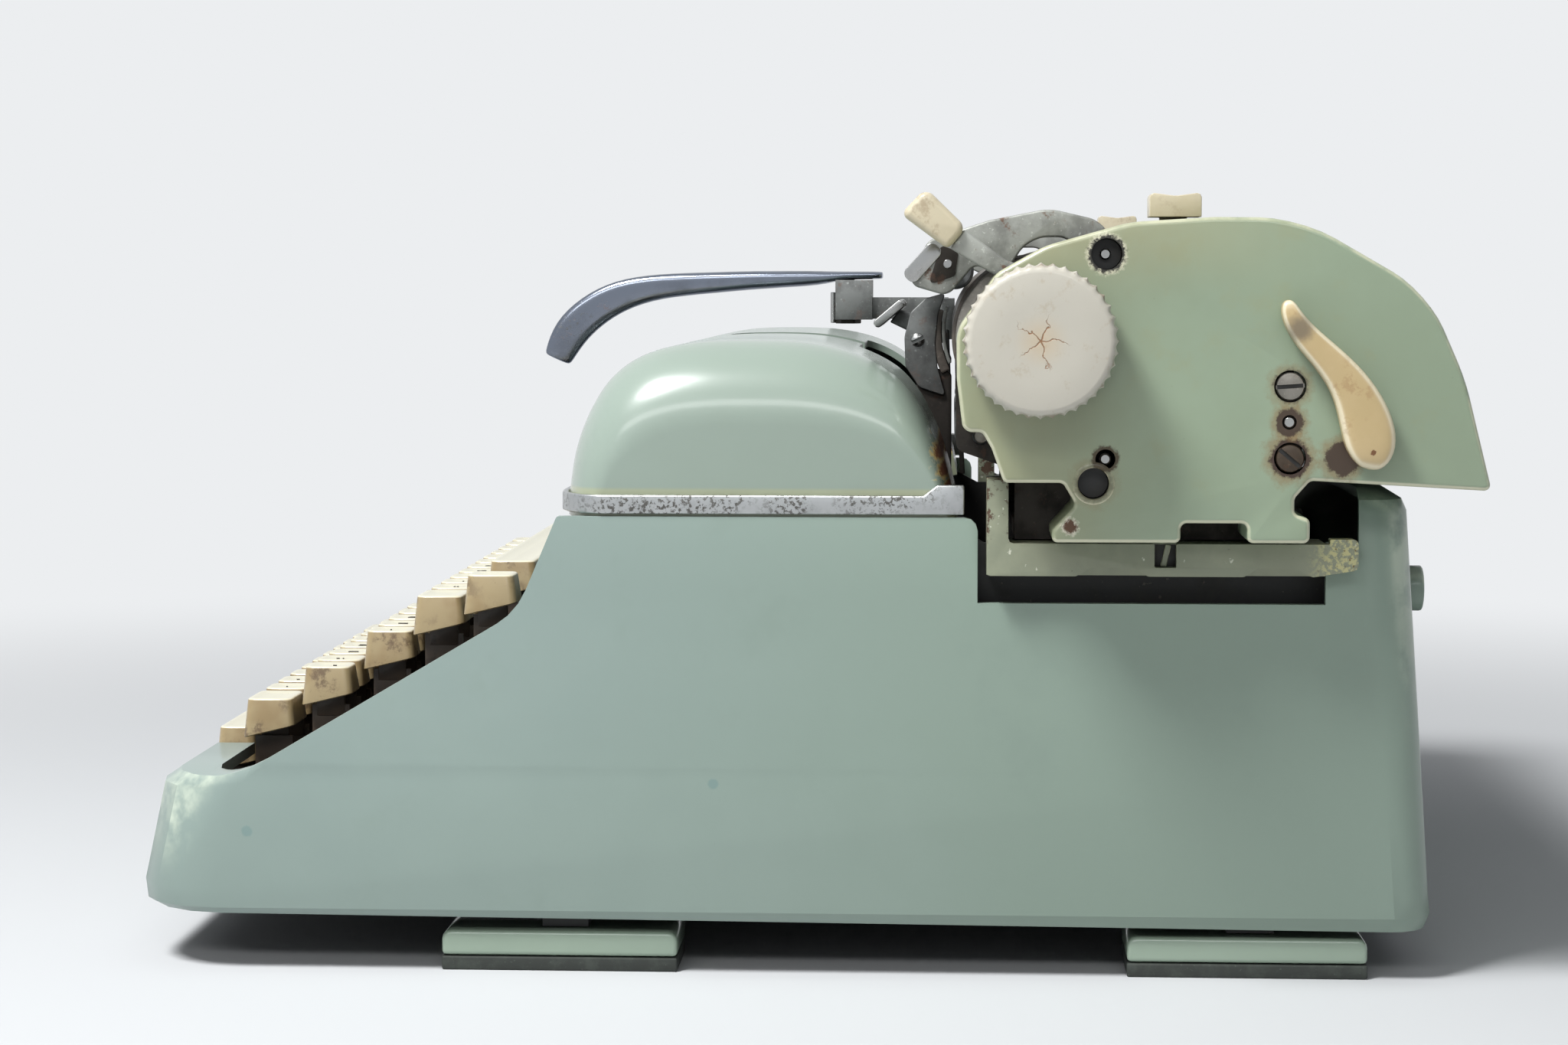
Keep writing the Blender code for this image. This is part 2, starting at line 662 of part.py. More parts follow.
BROWN = ((0.07, 0.05, 0.04), 0.5, 0.3)
SIDES = (("right", 1), ("left", -1))


# Body shell

def body_ring(level, lean, half, trim=0.0):
    """One level of the shell's plan: lean moves front and rear in, trim moves every side in."""
    front = FRONT_Y + lean[0] + trim
    rear = BODY_REAR_Y - lean[1] - trim
    side = half - trim
    front_round = max(FRONT_CORNER - trim, BODY_WALL)
    rear_round = max(REAR_CORNER - trim, BODY_WALL)
    corners = [
        (-side, front, front_round), (side, front, front_round),
        (side, rear, rear_round), (-side, rear, rear_round),
    ]
    return [(point.x, point.y, level) for point in filleted(corners, ARC_STEPS)]


def rear_lean(height):
    """How far the rear wall has come forward at a height above the shell's base."""
    return REAR_LEAN * min(height / (DECK_HEIGHT - DECK_ROUND), 1)


def shell_levels():
    """Levels of the outer shell: height above the base, front and rear lean, half width."""
    upper = HALF_WIDTH - BODY_DRAFT
    curve = DECK_HEIGHT - DECK_ROUND
    rounding = APRON_HEIGHT - APRON_CAP
    back = APRON_LEAN + UNDERSIDE_ROUND * 2
    return (
        (0, (UNDERSIDE_ROUND, UNDERSIDE_ROUND / 2), HALF_WIDTH - UNDERSIDE_ROUND / 2),
        (UNDERSIDE_ROUND, (UNDERSIDE_ROUND / 4, 0), HALF_WIDTH),
        (UNDERSIDE_ROUND * 3, (0, rear_lean(UNDERSIDE_ROUND * 3)), HALF_WIDTH),
        (rounding, (APRON_LEAN - APRON_CAP, rear_lean(rounding)), HALF_WIDTH),
        (APRON_HEIGHT - APRON_CAP / 3, (APRON_LEAN, rear_lean(APRON_HEIGHT)), HALF_WIDTH),
        (APRON_HEIGHT + APRON_CAP, (back, rear_lean(APRON_HEIGHT + APRON_CAP)), HALF_WIDTH),
        (curve, (back, REAR_LEAN), upper),
        (curve + DECK_ROUND / 2, (back, REAR_LEAN + DECK_ROUND / 5), upper - DECK_ROUND / 5),
        (DECK_HEIGHT, (back, REAR_LEAN + DECK_ROUND), upper - DECK_ROUND),
    )


def side_edge():
    """The side walls' top edge from the side, as the outline of what is cut away above it."""
    far = DEPTH
    step_y = NOTCH_REAR_Y + NOTCH_STEP
    return [
        (-far, APRON_Z, 0),
        (FRONT_Y + SLOPE_FOOT_SETBACK, APRON_Z, SLOPE_FOOT_ROUND),
        (FRONT_Y + SLOPE_HEAD_SETBACK, APRON_Z + SLOPE_HEAD_RISE, SLOPE_HEAD_ROUND),
        (COVER_FRONT_Y - COVER_LIFT, WALL_TOP_Z, COVER_LIFT),
        (NOTCH_FRONT_Y, WALL_TOP_Z, NOTCH_ROUND),
        (NOTCH_FRONT_Y, NOTCH_Z, 0),
        (NOTCH_REAR_Y, NOTCH_Z, 0),
        (NOTCH_REAR_Y, TRAY_TOP_Z, 0),
        (step_y, TRAY_TOP_Z, 0),
        (step_y, DECK_Z + OVERRUN, 0),
        (far, DECK_Z + OVERRUN, 0),
        (far, DECK_Z * 2, 0),
        (-far, DECK_Z * 2, 0),
    ]


def make_body_shell():
    levels = shell_levels()
    rings = [body_ring(BODY_BASE_Z + height, lean, half) for height, lean, half in levels]
    rings[0] = [(x, y, z - y * BASE_TILT_SHARE) for x, y, z in rings[0]]
    upper_half = HALF_WIDTH - BODY_DRAFT
    apron_under = BODY_BASE_Z + APRON_HEIGHT - APRON_CAP
    below = loft([
        body_ring(-OVERRUN, levels[2][1], HALF_WIDTH, BODY_WALL),
        body_ring(BODY_BASE_Z + levels[2][0], levels[2][1], HALF_WIDTH, BODY_WALL),
        body_ring(apron_under, levels[3][1], HALF_WIDTH, BODY_WALL),
    ])
    well_front = APRON_DEPTH - BODY_WALL
    well = loft([
        body_ring(apron_under - OVERRUN, (well_front, levels[4][1][1]), upper_half, BODY_WALL),
        body_ring(DECK_Z - BODY_WALL, (well_front, REAR_LEAN + BODY_WALL), upper_half, BODY_WALL),
    ])
    deck_rear = BODY_REAR_Y - NOTCH_REAR_Y - NOTCH_STEP - BODY_WALL
    mouth = loft([
        body_ring(WALL_TOP_Z - BODY_WALL, (well_front, deck_rear), upper_half, BODY_WALL),
        body_ring(DECK_Z + OVERRUN, (well_front, deck_rear), upper_half, BODY_WALL),
    ])
    recess_half = SPACE_BAR_LENGTH / 2 + APRON_DEPTH / 3
    recess = box(
        (-recess_half, FRONT_Y - OVERRUN, APRON_Z - APRON_RECESS_DEPTH),
        (recess_half, WELL_FRONT_Y + OVERRUN, APRON_Z + APRON_CAP * 2),
    )
    band_top = WALL_TOP_Z - BAND_DROP
    band_half = HALF_WIDTH - BODY_WALL * 0.75
    band = box(
        (-band_half, COVER_FRONT_Y, band_top - BAND_HEIGHT),
        (band_half, COVER_FRONT_Y + BODY_WALL, band_top),
    )
    edge = prism(side_edge(), -BODY_WIDTH, BODY_WIDTH)
    piece("body_shell", SAGE, loft(rings), cut(below, well, mouth, edge, recess), join(band))


def make_rear_cap():
    height = DECK_HEIGHT * CAP_HEIGHT_SHARE
    level = BODY_BASE_Z + height
    wall = BODY_REAR_Y - rear_lean(height - CAP_RADIUS) + GAP * 2
    start, end = (CAP_OFFSET, wall, level), (CAP_OFFSET, wall + CAP_THICKNESS, level)
    piece("rear_cap", BLACK_METAL, rod(start, end, CAP_RADIUS, ROUND_SIDES))


def make_trays():
    outline = placed(TRAY_SHARES, (TRAY_FRONT_Y, TRAY_Z), (TRAY_LENGTH, TRAY_HEIGHT))
    shelf_rear = NOTCH_REAR_Y - 2 * GAP
    flange_rear = TRAY_FRONT_Y + TRAY_FLANGE
    high = TRAY_Z + TRAY_HEIGHT
    shelf_outline = [
        (TRAY_FRONT_Y, TRAY_Z, 0), (shelf_rear, TRAY_Z, 0), (shelf_rear, TRAY_TOP_Z, 0),
        (flange_rear, TRAY_TOP_Z, 0), (flange_rear, high, 0), (TRAY_FRONT_Y, high, 0),
    ]
    for name, side in SIDES:
        wall_x = side * (HALF_WIDTH + GAP)
        flange = prism(outline, wall_x, side * TRAY_FACE_X)
        shelf = prism(shelf_outline, side * (SIDE_PLATE_X + GAP), wall_x + side * TRAY_PROUD / 3)
        piece(f"side_tray_{name}", SAGE_WORN, flange, join(shelf))


def foot_places():
    """Name, front edge and outer side of each foot."""
    rear_setback = BODY_DEPTH - REAR_FOOT_INSET - FOOT_LENGTH
    for end, setback in (("front", FRONT_FOOT_SETBACK), ("rear", rear_setback)):
        for name, side in SIDES:
            yield f"{end}_{name}", FRONT_Y + setback, side


def make_feet():
    outer = HALF_WIDTH - FOOT_INSET
    for name, front, side in foot_places():
        rear = front + FOOT_LENGTH
        pad = [(front, 0, 0), (rear, 0, 0), (rear, PAD_HEIGHT, 0), (front, PAD_HEIGHT, 0)]
        low, high = PAD_HEIGHT + GAP, PAD_HEIGHT + SHOE_HEIGHT
        shoe = [(front, low, 0), (rear, low, 0), (rear, high, FOOT_ROUND), (front, high, FOOT_ROUND)]
        span = (side * (outer - FOOT_WIDTH), side * outer)
        piece(f"foot_pad_{name}", RUBBER, prism(pad, *span))
        piece(f"foot_shoe_{name}", SAGE_WARM, prism(shoe, *span))


def make_bottom_plate():
    half = HALF_WIDTH - BODY_WALL - GAP * 2
    front = FRONT_Y + BODY_WALL * 2
    rear = BODY_REAR_Y - BODY_WALL * 2
    corners = [
        (-half, front, FRONT_CORNER), (half, front, FRONT_CORNER),
        (half, rear, REAR_CORNER), (-half, rear, REAR_CORNER),
    ]
    spacers = []
    low = PAD_HEIGHT + SHOE_HEIGHT + GAP
    high = BOTTOM_Z + BOTTOM_SHEET / 2
    outer = HALF_WIDTH - FOOT_INSET - BODY_WALL * 2
    for _, foot_front, side in foot_places():
        start = foot_front + FOOT_LENGTH * SPACER_SETBACK_SHARE
        x_low, x_high = sorted((side * (outer - SPACER_WIDTH), side * outer))
        spacers.append(box((x_low, start, low), (x_high, start + SPACER_LENGTH, high)))
    sheet = prism(corners, BOTTOM_Z, BOTTOM_Z + BOTTOM_SHEET, "Z")
    piece("bottom_plate", BLACK_METAL, sheet, join(spacers))


# Base frame and what it carries

def basket_point(fan, reach, along=0.0):
    """A point of the type basket: fan angle, distance from the print point, offset along it."""
    out = Vector((sin(fan), 0, 0)) - STRIKE_UP * cos(fan)
    return PRINT_POINT + out * reach + BASKET_OUT * along


def segment_seat():
    """The lowest point of the type segment, which stands on the frame's cross beam."""
    reach = TYPE_BAR_LENGTH + SEGMENT_OUTER
    return basket_point(0, reach, -SEGMENT_THICKNESS - TYPE_WIRE_RADIUS)


def drum_centre_z():
    return WALL_TOP_Z - DRUM_RADIUS - DECK_ROUND * 2


def make_base_frame():
    low = BOTTOM_Z + BOTTOM_SHEET + GAP
    start = COVER_FRONT_Y + COVER_CORNER
    rear = NOTCH_REAR_Y + NOTCH_STEP
    height = WALL_TOP_Z - low
    outline = [(start + a * (rear - start), low + b * height, 0) for a, b in SIDE_PLATE_SHARES]
    right, left = (
        prism(outline, side * (SIDE_PLATE_X - SIDE_PLATE), side * SIDE_PLATE_X) for _, side in SIDES
    )
    inside = SIDE_PLATE_X - SIDE_PLATE / 2
    seat = segment_seat()
    beam_top = seat.z - GAP
    beam_rear = seat.y + BEAM_DEPTH / 4
    beam_low = beam_top - BEAM_HEIGHT
    beam = box((-inside, beam_rear - BEAM_DEPTH, beam_low), (inside, beam_rear, beam_top))
    leg_beam = box(
        (-inside, beam_rear - OVERRUN, beam_low),
        (inside, beam_rear + LEG_BEAM_DEPTH, beam_top - CROSS_DEPTH),
    )
    cross = box((-inside, rear - CROSS_DEPTH, low), (inside, rear, low + height * 0.75))
    comb_y = FRONT_Y + COMB_SETBACK
    comb_low = LEVER_HIGH_Z + GAP
    comb = box((-inside, comb_y, comb_low), (inside, comb_y + COMB_DEPTH, comb_low + COMB_HEIGHT))
    rails = [
        box((-inside, front, RAIL_TOP_Z - RAIL_HEIGHT), (inside, front + RAIL_WIDTH, RAIL_TOP_Z))
        for front in (FRONT_RAIL_Y, REAR_RAIL_Y)
    ]
    decks, posts = [], []
    for _, side in SIDES:
        x_low, x_high = sorted((side * (SPOOL_OFFSET - SPOOL_RADIUS), side * inside))
        decks.append(box(
            (x_low, SPOOL_Y - SPOOL_RADIUS, WALL_TOP_Z - SPOOL_DECK),
            (x_high, SPOOL_Y + SPOOL_RADIUS, SPOOL_DECK_Z - SPOOL_DECK / 2),
        ))
        foot = (side * SPOOL_OFFSET, SPOOL_Y, WALL_TOP_Z - SPOOL_DECK / 2)
        head = (side * SPOOL_OFFSET, SPOOL_Y, SPOOL_DECK_Z + SPOOL_HEIGHT + SPOOL_DECK)
        posts.append(rod(foot, head, SPOOL_POST))
    axle = rod(
        (-DRUM_OFFSET, rear - CROSS_DEPTH / 2, drum_centre_z()),
        (-DRUM_OFFSET, rear + DRUM_WIDTH + 2 * GAP, drum_centre_z()), DRUM_AXLE_RADIUS,
    )
    piece(
        "base_frame", BLACK_METAL, right,
        join(beam, leg_beam, cross, comb, rails, decks, posts, axle), join(left),
    )
    shaft_end = SIDE_PLATE_X - SIDE_PLATE - GAP
    shaft = rod((-shaft_end, SHAFT_Y, SHAFT_Z), (shaft_end, SHAFT_Y, SHAFT_Z), LEVER_SHAFT_RADIUS)
    piece("key_lever_shaft", STEEL, shaft)


def make_spring_drum():
    centre = (-DRUM_OFFSET, NOTCH_REAR_Y + NOTCH_STEP + GAP, drum_centre_z())
    bore = DRUM_AXLE_RADIUS + RUNNING
    waist = DRUM_RADIUS * 0.88
    profile = [
        (0, bore), (0, DRUM_RADIUS), (DRUM_WIDTH / 5, DRUM_RADIUS), (DRUM_WIDTH / 4, waist),
        (DRUM_WIDTH * 3 / 4, waist), (DRUM_WIDTH * 4 / 5, DRUM_RADIUS), (DRUM_WIDTH, DRUM_RADIUS),
        (DRUM_WIDTH, bore),
    ]
    drum = turned(profile, centre, (0, 1, 0))
    piece("spring_drum", STEEL, drum, carrier=body("spring_drum_body", centre))


def basket_section(fan, near, far):
    """A rectangle across the basket's ring between two (reach, along) corners."""
    reaches, levels = zip(near, far)
    return [
        basket_point(fan, reaches[0], levels[0]), basket_point(fan, reaches[0], levels[1]),
        basket_point(fan, reaches[1], levels[1]), basket_point(fan, reaches[1], levels[0]),
    ]


def make_type_basket():
    reach_in = TYPE_BAR_LENGTH + SEGMENT_INNER
    reach_out = TYPE_BAR_LENGTH + SEGMENT_OUTER
    high = -TYPE_WIRE_RADIUS
    low = high - SEGMENT_THICKNESS
    steps = ARC_STEPS * 4
    wide = TYPE_FAN_ANGLE + STRIKE_SLOPE / TYPE_BAR_COUNT
    lug_start = wide + GAP / TYPE_BAR_LENGTH
    lug_end = lug_start + SEGMENT_LUG / TYPE_BAR_LENGTH
    fans = [-lug_end + 2 * lug_end * index / steps for index in range(steps + 1)]
    ring = loft([basket_section(fan, (reach_in, low), (reach_out, high)) for fan in fans])
    corners = (TYPE_BAR_LENGTH - SEGMENT_INNER, low), (reach_out - OVERRUN, TYPE_BAR_DEPTH / 2)
    spans = [(side * lug_start, side * lug_end) for _, side in SIDES]
    lugs = [loft([basket_section(fan, *corners) for fan in span]) for span in spans]
    piece("type_segment", STEEL, ring, join(lugs))
    wire = []
    for fan in [-wide + 2 * wide * index / steps for index in range(steps + 1)]:
        turns = [2 * pi * index / 6 for index in range(6)]
        wire.append([
            basket_point(fan, TYPE_BAR_LENGTH + TYPE_WIRE_RADIUS * cos(t), TYPE_WIRE_RADIUS * sin(t))
            for t in turns
        ])
    middle = TYPE_BAR_COUNT // 2
    bars = [type_bar(TYPE_FAN_ANGLE * (i - middle) / middle) for i in range(TYPE_BAR_COUNT) if i != middle]
    piece("type_bars", STEEL, loft(wire), join(bars))
    pivot = basket_point(0, TYPE_BAR_LENGTH)
    hole = rod(pivot - Vector((OVERRUN, 0, 0)), pivot + Vector((OVERRUN, 0, 0)), TYPE_WIRE_RADIUS + GAP)
    piece("strike_type_bar", STEEL, type_bar(0), cut(hole), carrier=body("strike_bar_body", pivot))


def type_bar(fan):
    """One type bar at rest in the basket, with the wider slug at its end."""
    pivot = basket_point(fan, TYPE_BAR_LENGTH)
    strike = (PRINT_POINT - pivot).normalized()
    rest = (strike * cos(STRIKE_TURN) + BASKET_OUT * sin(STRIKE_TURN)).normalized()
    across = strike.cross(BASKET_OUT).normalized()
    up = across.cross(rest).normalized()
    up = up if up.z > 0 else -up
    slug_start = TYPE_BAR_LENGTH - SLUG_LENGTH
    heel = TYPE_BAR_DEPTH / 4
    deep = TYPE_BAR_DEPTH / 2
    rings = []
    for place, half_width, low, high in (
        (-TYPE_HEEL, TYPE_BAR_SHEET / 2, -heel, heel),
        (slug_start, TYPE_BAR_SHEET / 2, -deep, SLUG_FACE - GAP),
        (slug_start + GAP, SLUG_WIDTH / 2, -SLUG_BACK, SLUG_FACE),
        (TYPE_BAR_LENGTH, SLUG_WIDTH / 2, -SLUG_BACK, SLUG_FACE),
    ):
        rings.append([
            pivot + rest * place + across * side * half_width + up * level
            for side, level in ((-1, low), (1, low), (1, high), (-1, high))
        ])
    return loft(rings)


def bar_outline(centre, tilt, length, thickness, corner):
    """A tilted strip seen along X, with rounded corners."""
    along = Vector((cos(tilt), sin(tilt))) * length / 2
    across = Vector((-sin(tilt), cos(tilt))) * thickness / 2
    signs = ((-1, -1), (1, -1), (1, 1), (-1, 1))
    return [(*(Vector(centre) + along * a + across * b), corner) for a, b in signs]


def make_card_guides():
    inner = PLATEN_RADIUS + GUIDE_CLEAR
    outer = inner + GUIDE_SHEET
    centre = (PLATEN_Y, PLATEN_Z)
    band = arc(centre, outer, GUIDE_TOP_ANGLE, GUIDE_BOTTOM_ANGLE, ARC_STEPS)
    band += arc(centre, inner, GUIDE_BOTTOM_ANGLE, GUIDE_TOP_ANGLE, ARC_STEPS)
    seat = segment_seat()
    leg_y = seat.y + BEAM_DEPTH / 4 + LEG_BEAM_DEPTH / 2
    leg_low = seat.z - CROSS_DEPTH
    band_y = PLATEN_Y - outer
    knee_z = PLATEN_Z - PLATEN_RADIUS
    sheet = GUIDE_SHEET * 2
    leg = [
        (leg_y, leg_low, 0), (leg_y + sheet, leg_low, 0), (leg_y + sheet, knee_z, 0),
        (band_y + sheet, PLATEN_Z - SCALE_RISE, 0), (band_y + GUIDE_SHEET / 2, PLATEN_Z, 0),
        (leg_y, knee_z, 0),
    ]
    scale = (PLATEN_Y - SCALE_FORWARD, PLATEN_Z + SCALE_RISE)
    bar = bar_outline(scale, SCALE_TILT, SCALE_LENGTH, SCALE_THICKNESS, SCALE_THICKNESS / 3)
    arm = [
        (scale[0], scale[1] - SCALE_THICKNESS, 0),
        (band_y + GUIDE_SHEET / 2, PLATEN_Z - SCALE_THICKNESS * 2, 0),
        (band_y + GUIDE_SHEET / 2, PLATEN_Z + SCALE_THICKNESS, 0),
        (scale[0] + SCALE_THICKNESS, scale[1] + SCALE_THICKNESS / 3, 0),
    ]
    bands, legs, bars, arms = [], [], [], []
    for _, side in SIDES:
        near = side * GUIDE_GAP / 2
        far = near + side * GUIDE_WIDTH
        leg_x = near + side * GUIDE_WIDTH / 2
        bands.append(prism(band, near, far))
        legs.append(prism(leg, leg_x, leg_x + side * GUIDE_LEG_WIDTH))
        bars.append(prism(bar, near, far))
        arms.append(prism(arm, near + side * GUIDE_SHEET, near + side * (GUIDE_SHEET + GUIDE_ARM_WIDTH)))
    half = GUIDE_GAP / 2 + GUIDE_WIDTH / 2 + GUIDE_LEG_WIDTH
    foot = box((-half, leg_y, leg_low), (half, leg_y + sheet, leg_low + CROSS_DEPTH))
    piece("card_guides", STEEL, foot, join(legs, bands, arms, bars))


# Ribbon cover

def cover_turns():
    """The cover's rounding towards its side: how far in from the side, and the share rounded."""
    angles = [radians(90) * step / ARC_STEPS for step in range(ARC_STEPS + 1)]
    return [(COVER_SHOULDER * (1 - sin(t)), 1 - cos(t), t) for t in angles]


def cover_rings(wall):
    half = HALF_WIDTH - COVER_SIDE_INSET - wall
    turns = [(half - inwards, share) for inwards, share, _ in cover_turns()]
    stations = [(-x, share) for x, share in reversed(turns)] + turns
    low = COVER_BASE_Z - (OVERRUN if wall else 0)
    rings = []
    for x, share in stations:
        start = COVER_FRONT_Y + wall + COVER_CORNER * share
        end = COVER_REAR_Y - wall - COVER_REAR_CORNER * share
        tall = COVER_TOP_Z - wall - COVER_SHOULDER * share - low
        corners = placed(RIBBON_COVER_SHARES, (start, low), (end - start, tall))
        rings.append([(x, point.x, point.y) for point in filleted(corners, PADDED_STEPS)])
    return rings


def make_ribbon_cover():
    carrier = body("ribbon_cover_body", (0, HINGE_Y, HINGE_Z))
    inner = loft(cover_rings(COVER_SHELL))
    mouth = box(
        (-MOUTH_HALF_WIDTH, COVER_FRONT_Y + MOUTH_SETBACK, COVER_BASE_Z - OVERRUN),
        (MOUTH_HALF_WIDTH, COVER_REAR_Y + OVERRUN, COVER_TOP_Z + OVERRUN),
    )
    root = COVER_FRONT_Y + COVER_SHELL / 2
    nose = HINGE_Y + HINGE_LUG_RADIUS
    outline = [
        (root, HINGE_Z - HINGE_LUG_RADIUS, 0), (nose, HINGE_Z - HINGE_LUG_RADIUS, HINGE_LUG_RADIUS),
        (nose, HINGE_Z + HINGE_LUG_RADIUS, HINGE_LUG_RADIUS), (root, HINGE_Z + HINGE_LUG_RADIUS * 2, 0),
    ]
    lugs, holes = [], []
    for _, side in SIDES:
        for place in (0, HINGE_PIN_LENGTH - COVER_SHELL):
            start = side * (HINGE_OFFSET + place)
            lugs.append(prism(outline, start, start + side * COVER_SHELL))
        start = side * (HINGE_OFFSET - OVERRUN)
        end = side * (HINGE_OFFSET + HINGE_PIN_LENGTH + OVERRUN)
        holes.append(through((HINGE_Y, HINGE_Z), HINGE_PIN_RADIUS + RUNNING, start, end))
    shell = loft(cover_rings(0))
    piece("ribbon_cover", SAGE, shell, cut(inner, mouth), join(lugs), cut(holes), carrier=carrier)
    make_trim(carrier)
    make_hinge_rod()


def trim_path(offset):
    """The cover's lower edge in plan from the rear left to the rear right, moved outwards."""
    half = HALF_WIDTH - COVER_SIDE_INSET
    rear = COVER_REAR_Y + TRIM_THICKNESS
    lift = rear - TRIM_LIFT_LENGTH
    path = []
    for inwards, share, turn in cover_turns():
        normal = Vector((sin(turn) / COVER_SHOULDER, -cos(turn) / COVER_CORNER)).normalized()
        path.append(Vector((half - inwards, COVER_FRONT_Y + COVER_CORNER * share)) + normal * offset)
    for place in (lift, lift + TRIM_LIFT_LENGTH / 3, rear):
        path.append(Vector((half + offset, place)))
    return [Vector((-point.x, point.y)) for point in reversed(path)] + path


def make_trim(carrier):
    """The bright strip round the cover's lower edge, which lifts at its rear ends."""
    paths = list(zip(trim_path(GAP), trim_path(GAP + TRIM_THICKNESS)))
    low = COVER_BASE_Z - COVER_LIFT / 5
    rings = []
    for index, (within, outside) in enumerate(paths):
        from_end = min(index, len(paths) - 1 - index)
        high = low + TRIM_HEIGHT + (TRIM_LIFT_RISE if from_end < 2 else 0)
        rings.append([(*outside, low), (*within, low), (*within, high), (*outside, high)])
    piece("cover_trim", CHROME, loft(rings), carrier=carrier)


def make_hinge_rod():
    """The rod that the cover's lugs turn on. Its posts stand behind the swing of the cover's front wall."""
    end = HINGE_OFFSET + HINGE_PIN_LENGTH + HINGE_PIN_RADIUS
    pin = through((HINGE_Y, HINGE_Z), HINGE_PIN_RADIUS, -end, end)
    back = COVER_FRONT_Y + BODY_WALL + GAP
    face = HINGE_Y + HINGE_PIN_RADIUS
    rear = face + HINGE_POST_DEPTH
    low = WALL_TOP_Z - BAND_DROP - BAND_HEIGHT / 2
    foot_top = HINGE_Z - HINGE_POST_DROP
    under, over = HINGE_Z - HINGE_PIN_RADIUS, HINGE_Z + HINGE_PIN_RADIUS
    outline = [
        (back, low, 0), (rear, low, 0), (rear, over, 0), (HINGE_Y, over, 0),
        (HINGE_Y, under, 0), (face, under, 0), (face, foot_top, 0), (back, foot_top, 0),
    ]
    posts = []
    for _, side in SIDES:
        middle = side * (HINGE_OFFSET + HINGE_PIN_LENGTH / 2)
        width = HINGE_PIN_LENGTH / 2 - COVER_SHELL - GAP
        posts.append(prism(outline, middle - width, middle + width))
    piece("cover_hinge_rod", STEEL, pin, join(posts))


def make_ribbon_spools():
    for name, side in SIDES:
        centre = (side * SPOOL_OFFSET, SPOOL_Y, SPOOL_DECK_Z - SPOOL_DECK / 2 + GAP)
        upper = SPOOL_HEIGHT - SPOOL_FLANGE
        profile = [
            (0, SPOOL_BORE), (0, SPOOL_RADIUS), (SPOOL_FLANGE, SPOOL_RADIUS), (SPOOL_FLANGE, SPOOL_CORE),
            (upper, SPOOL_CORE), (upper, SPOOL_RADIUS),
            (SPOOL_HEIGHT, SPOOL_RADIUS), (SPOOL_HEIGHT, SPOOL_BORE),
        ]
        carrier = body(f"ribbon_spool_{name}_body", centre)
        piece(f"ribbon_spool_{name}", DARK_STEEL, turned(profile, centre, (0, 0, 1)), carrier=carrier)


# Carriage

def feed_roller_centre(side):
    """The front (-1) or rear (1) feed roller, which presses on the platen from below."""
    reach = PLATEN_RADIUS + GAP + ROLLER_RADIUS
    return PLATEN_Y + side * reach * cos(ROLLER_DROP_ANGLE), PLATEN_Z - reach * sin(ROLLER_DROP_ANGLE)


def bail_pivot():
    return PLATEN_Y + BAIL_PIVOT_BACK, PLATEN_Z + BAIL_PIVOT_RISE


def release_pivot():
    return PLATEN_Y + RELEASE_BACK, PLATEN_Z - RELEASE_DROP


def paper_release_pivot():
    return PLATEN_Y + PAPER_RELEASE_BACK, PLATEN_Z + PAPER_RELEASE_RISE


def paper_release_x():
    return RIM_X + PAPER_RELEASE_ARM * 3


def through(place, radius, start, end, sides=SMALL_SIDES):
    """A round bar or cutter along X at a (y, z) place."""
    return rod((start, *place), (end, *place), radius, sides)


def make_carriage_frame(carrier):
    outline = placed(END_PLATE_SHARES, (PLATE_Y, CARRIAGE_BASE_Z), (PLATE_LENGTH, PLATE_HEIGHT))
    right, left = (prism(outline, side * PLATE_IN_X, side * PLATE_OUT_X) for _, side in SIDES)
    inside = PLATE_IN_X + END_PLATE / 2
    rear = PLATE_Y + PLATE_LENGTH
    front = PLATE_Y + PLATE_LENGTH * END_PLATE_SHARES[0][0]
    base_top = CARRIAGE_BASE_Z + BASE_PLATE
    base = box((-inside, front, CARRIAGE_BASE_Z), (inside, rear, base_top))
    beam_high = CARRIAGE_BASE_Z + PLATE_HEIGHT * END_PLATE_SHARES[-2][1] - OVERRUN
    beam = box((-inside, rear - END_PLATE, base_top - BASE_PLATE / 2), (inside, rear, beam_high))
    half = TRUCK_WIDTH / 2
    truck_low = CARRIAGE_BASE_Z - TRUCK_DROP
    trucks = [
        box((-half, inner, truck_low), (half, inner + TRUCK_THICKNESS, base_top - BASE_PLATE / 2))
        for inner in (FRONT_RAIL_Y + RAIL_WIDTH + RUNNING, REAR_RAIL_Y - RUNNING - TRUCK_THICKNESS)
    ]
    pin_end = paper_release_x() + PAPER_RELEASE_ARM * 2
    pin = through(paper_release_pivot(), PAPER_RELEASE_PIN, inside, pin_end)
    holes = []
    for _, side in SIDES:
        span = (side * (PLATE_IN_X - OVERRUN), side * (PLATE_OUT_X + OVERRUN))
        holes.append(through((PLATEN_Y, PLATEN_Z), SHAFT_RADIUS + RUNNING, *span, ROUND_SIDES))
        holes.append(through(bail_pivot(), BAIL_PIN_RADIUS + RUNNING, *span))
        for way in (-1, 1):
            holes.append(through(feed_roller_centre(way), ROLLER_SHAFT_RADIUS + RUNNING, *span))
    joined = join(base, beam, trucks, pin, paper_trough(inside), left)
    piece("carriage_frame", DARK_STEEL, right, joined, cut(holes), carrier=carrier)


def paper_trough(half):
    """The curved sheet under the platen that leads the paper round, between the end plates."""
    inner = PLATEN_RADIUS + TROUGH_GAP
    start, end = -pi / 2 - TROUGH_HALF_ANGLE, -pi / 2 + TROUGH_HALF_ANGLE
    centre = (PLATEN_Y, PLATEN_Z)
    lower = arc(centre, inner + TROUGH_SHEET, start, end, ARC_STEPS)
    upper = arc(centre, inner, end, start, ARC_STEPS)
    return prism(lower + upper, -half, half)


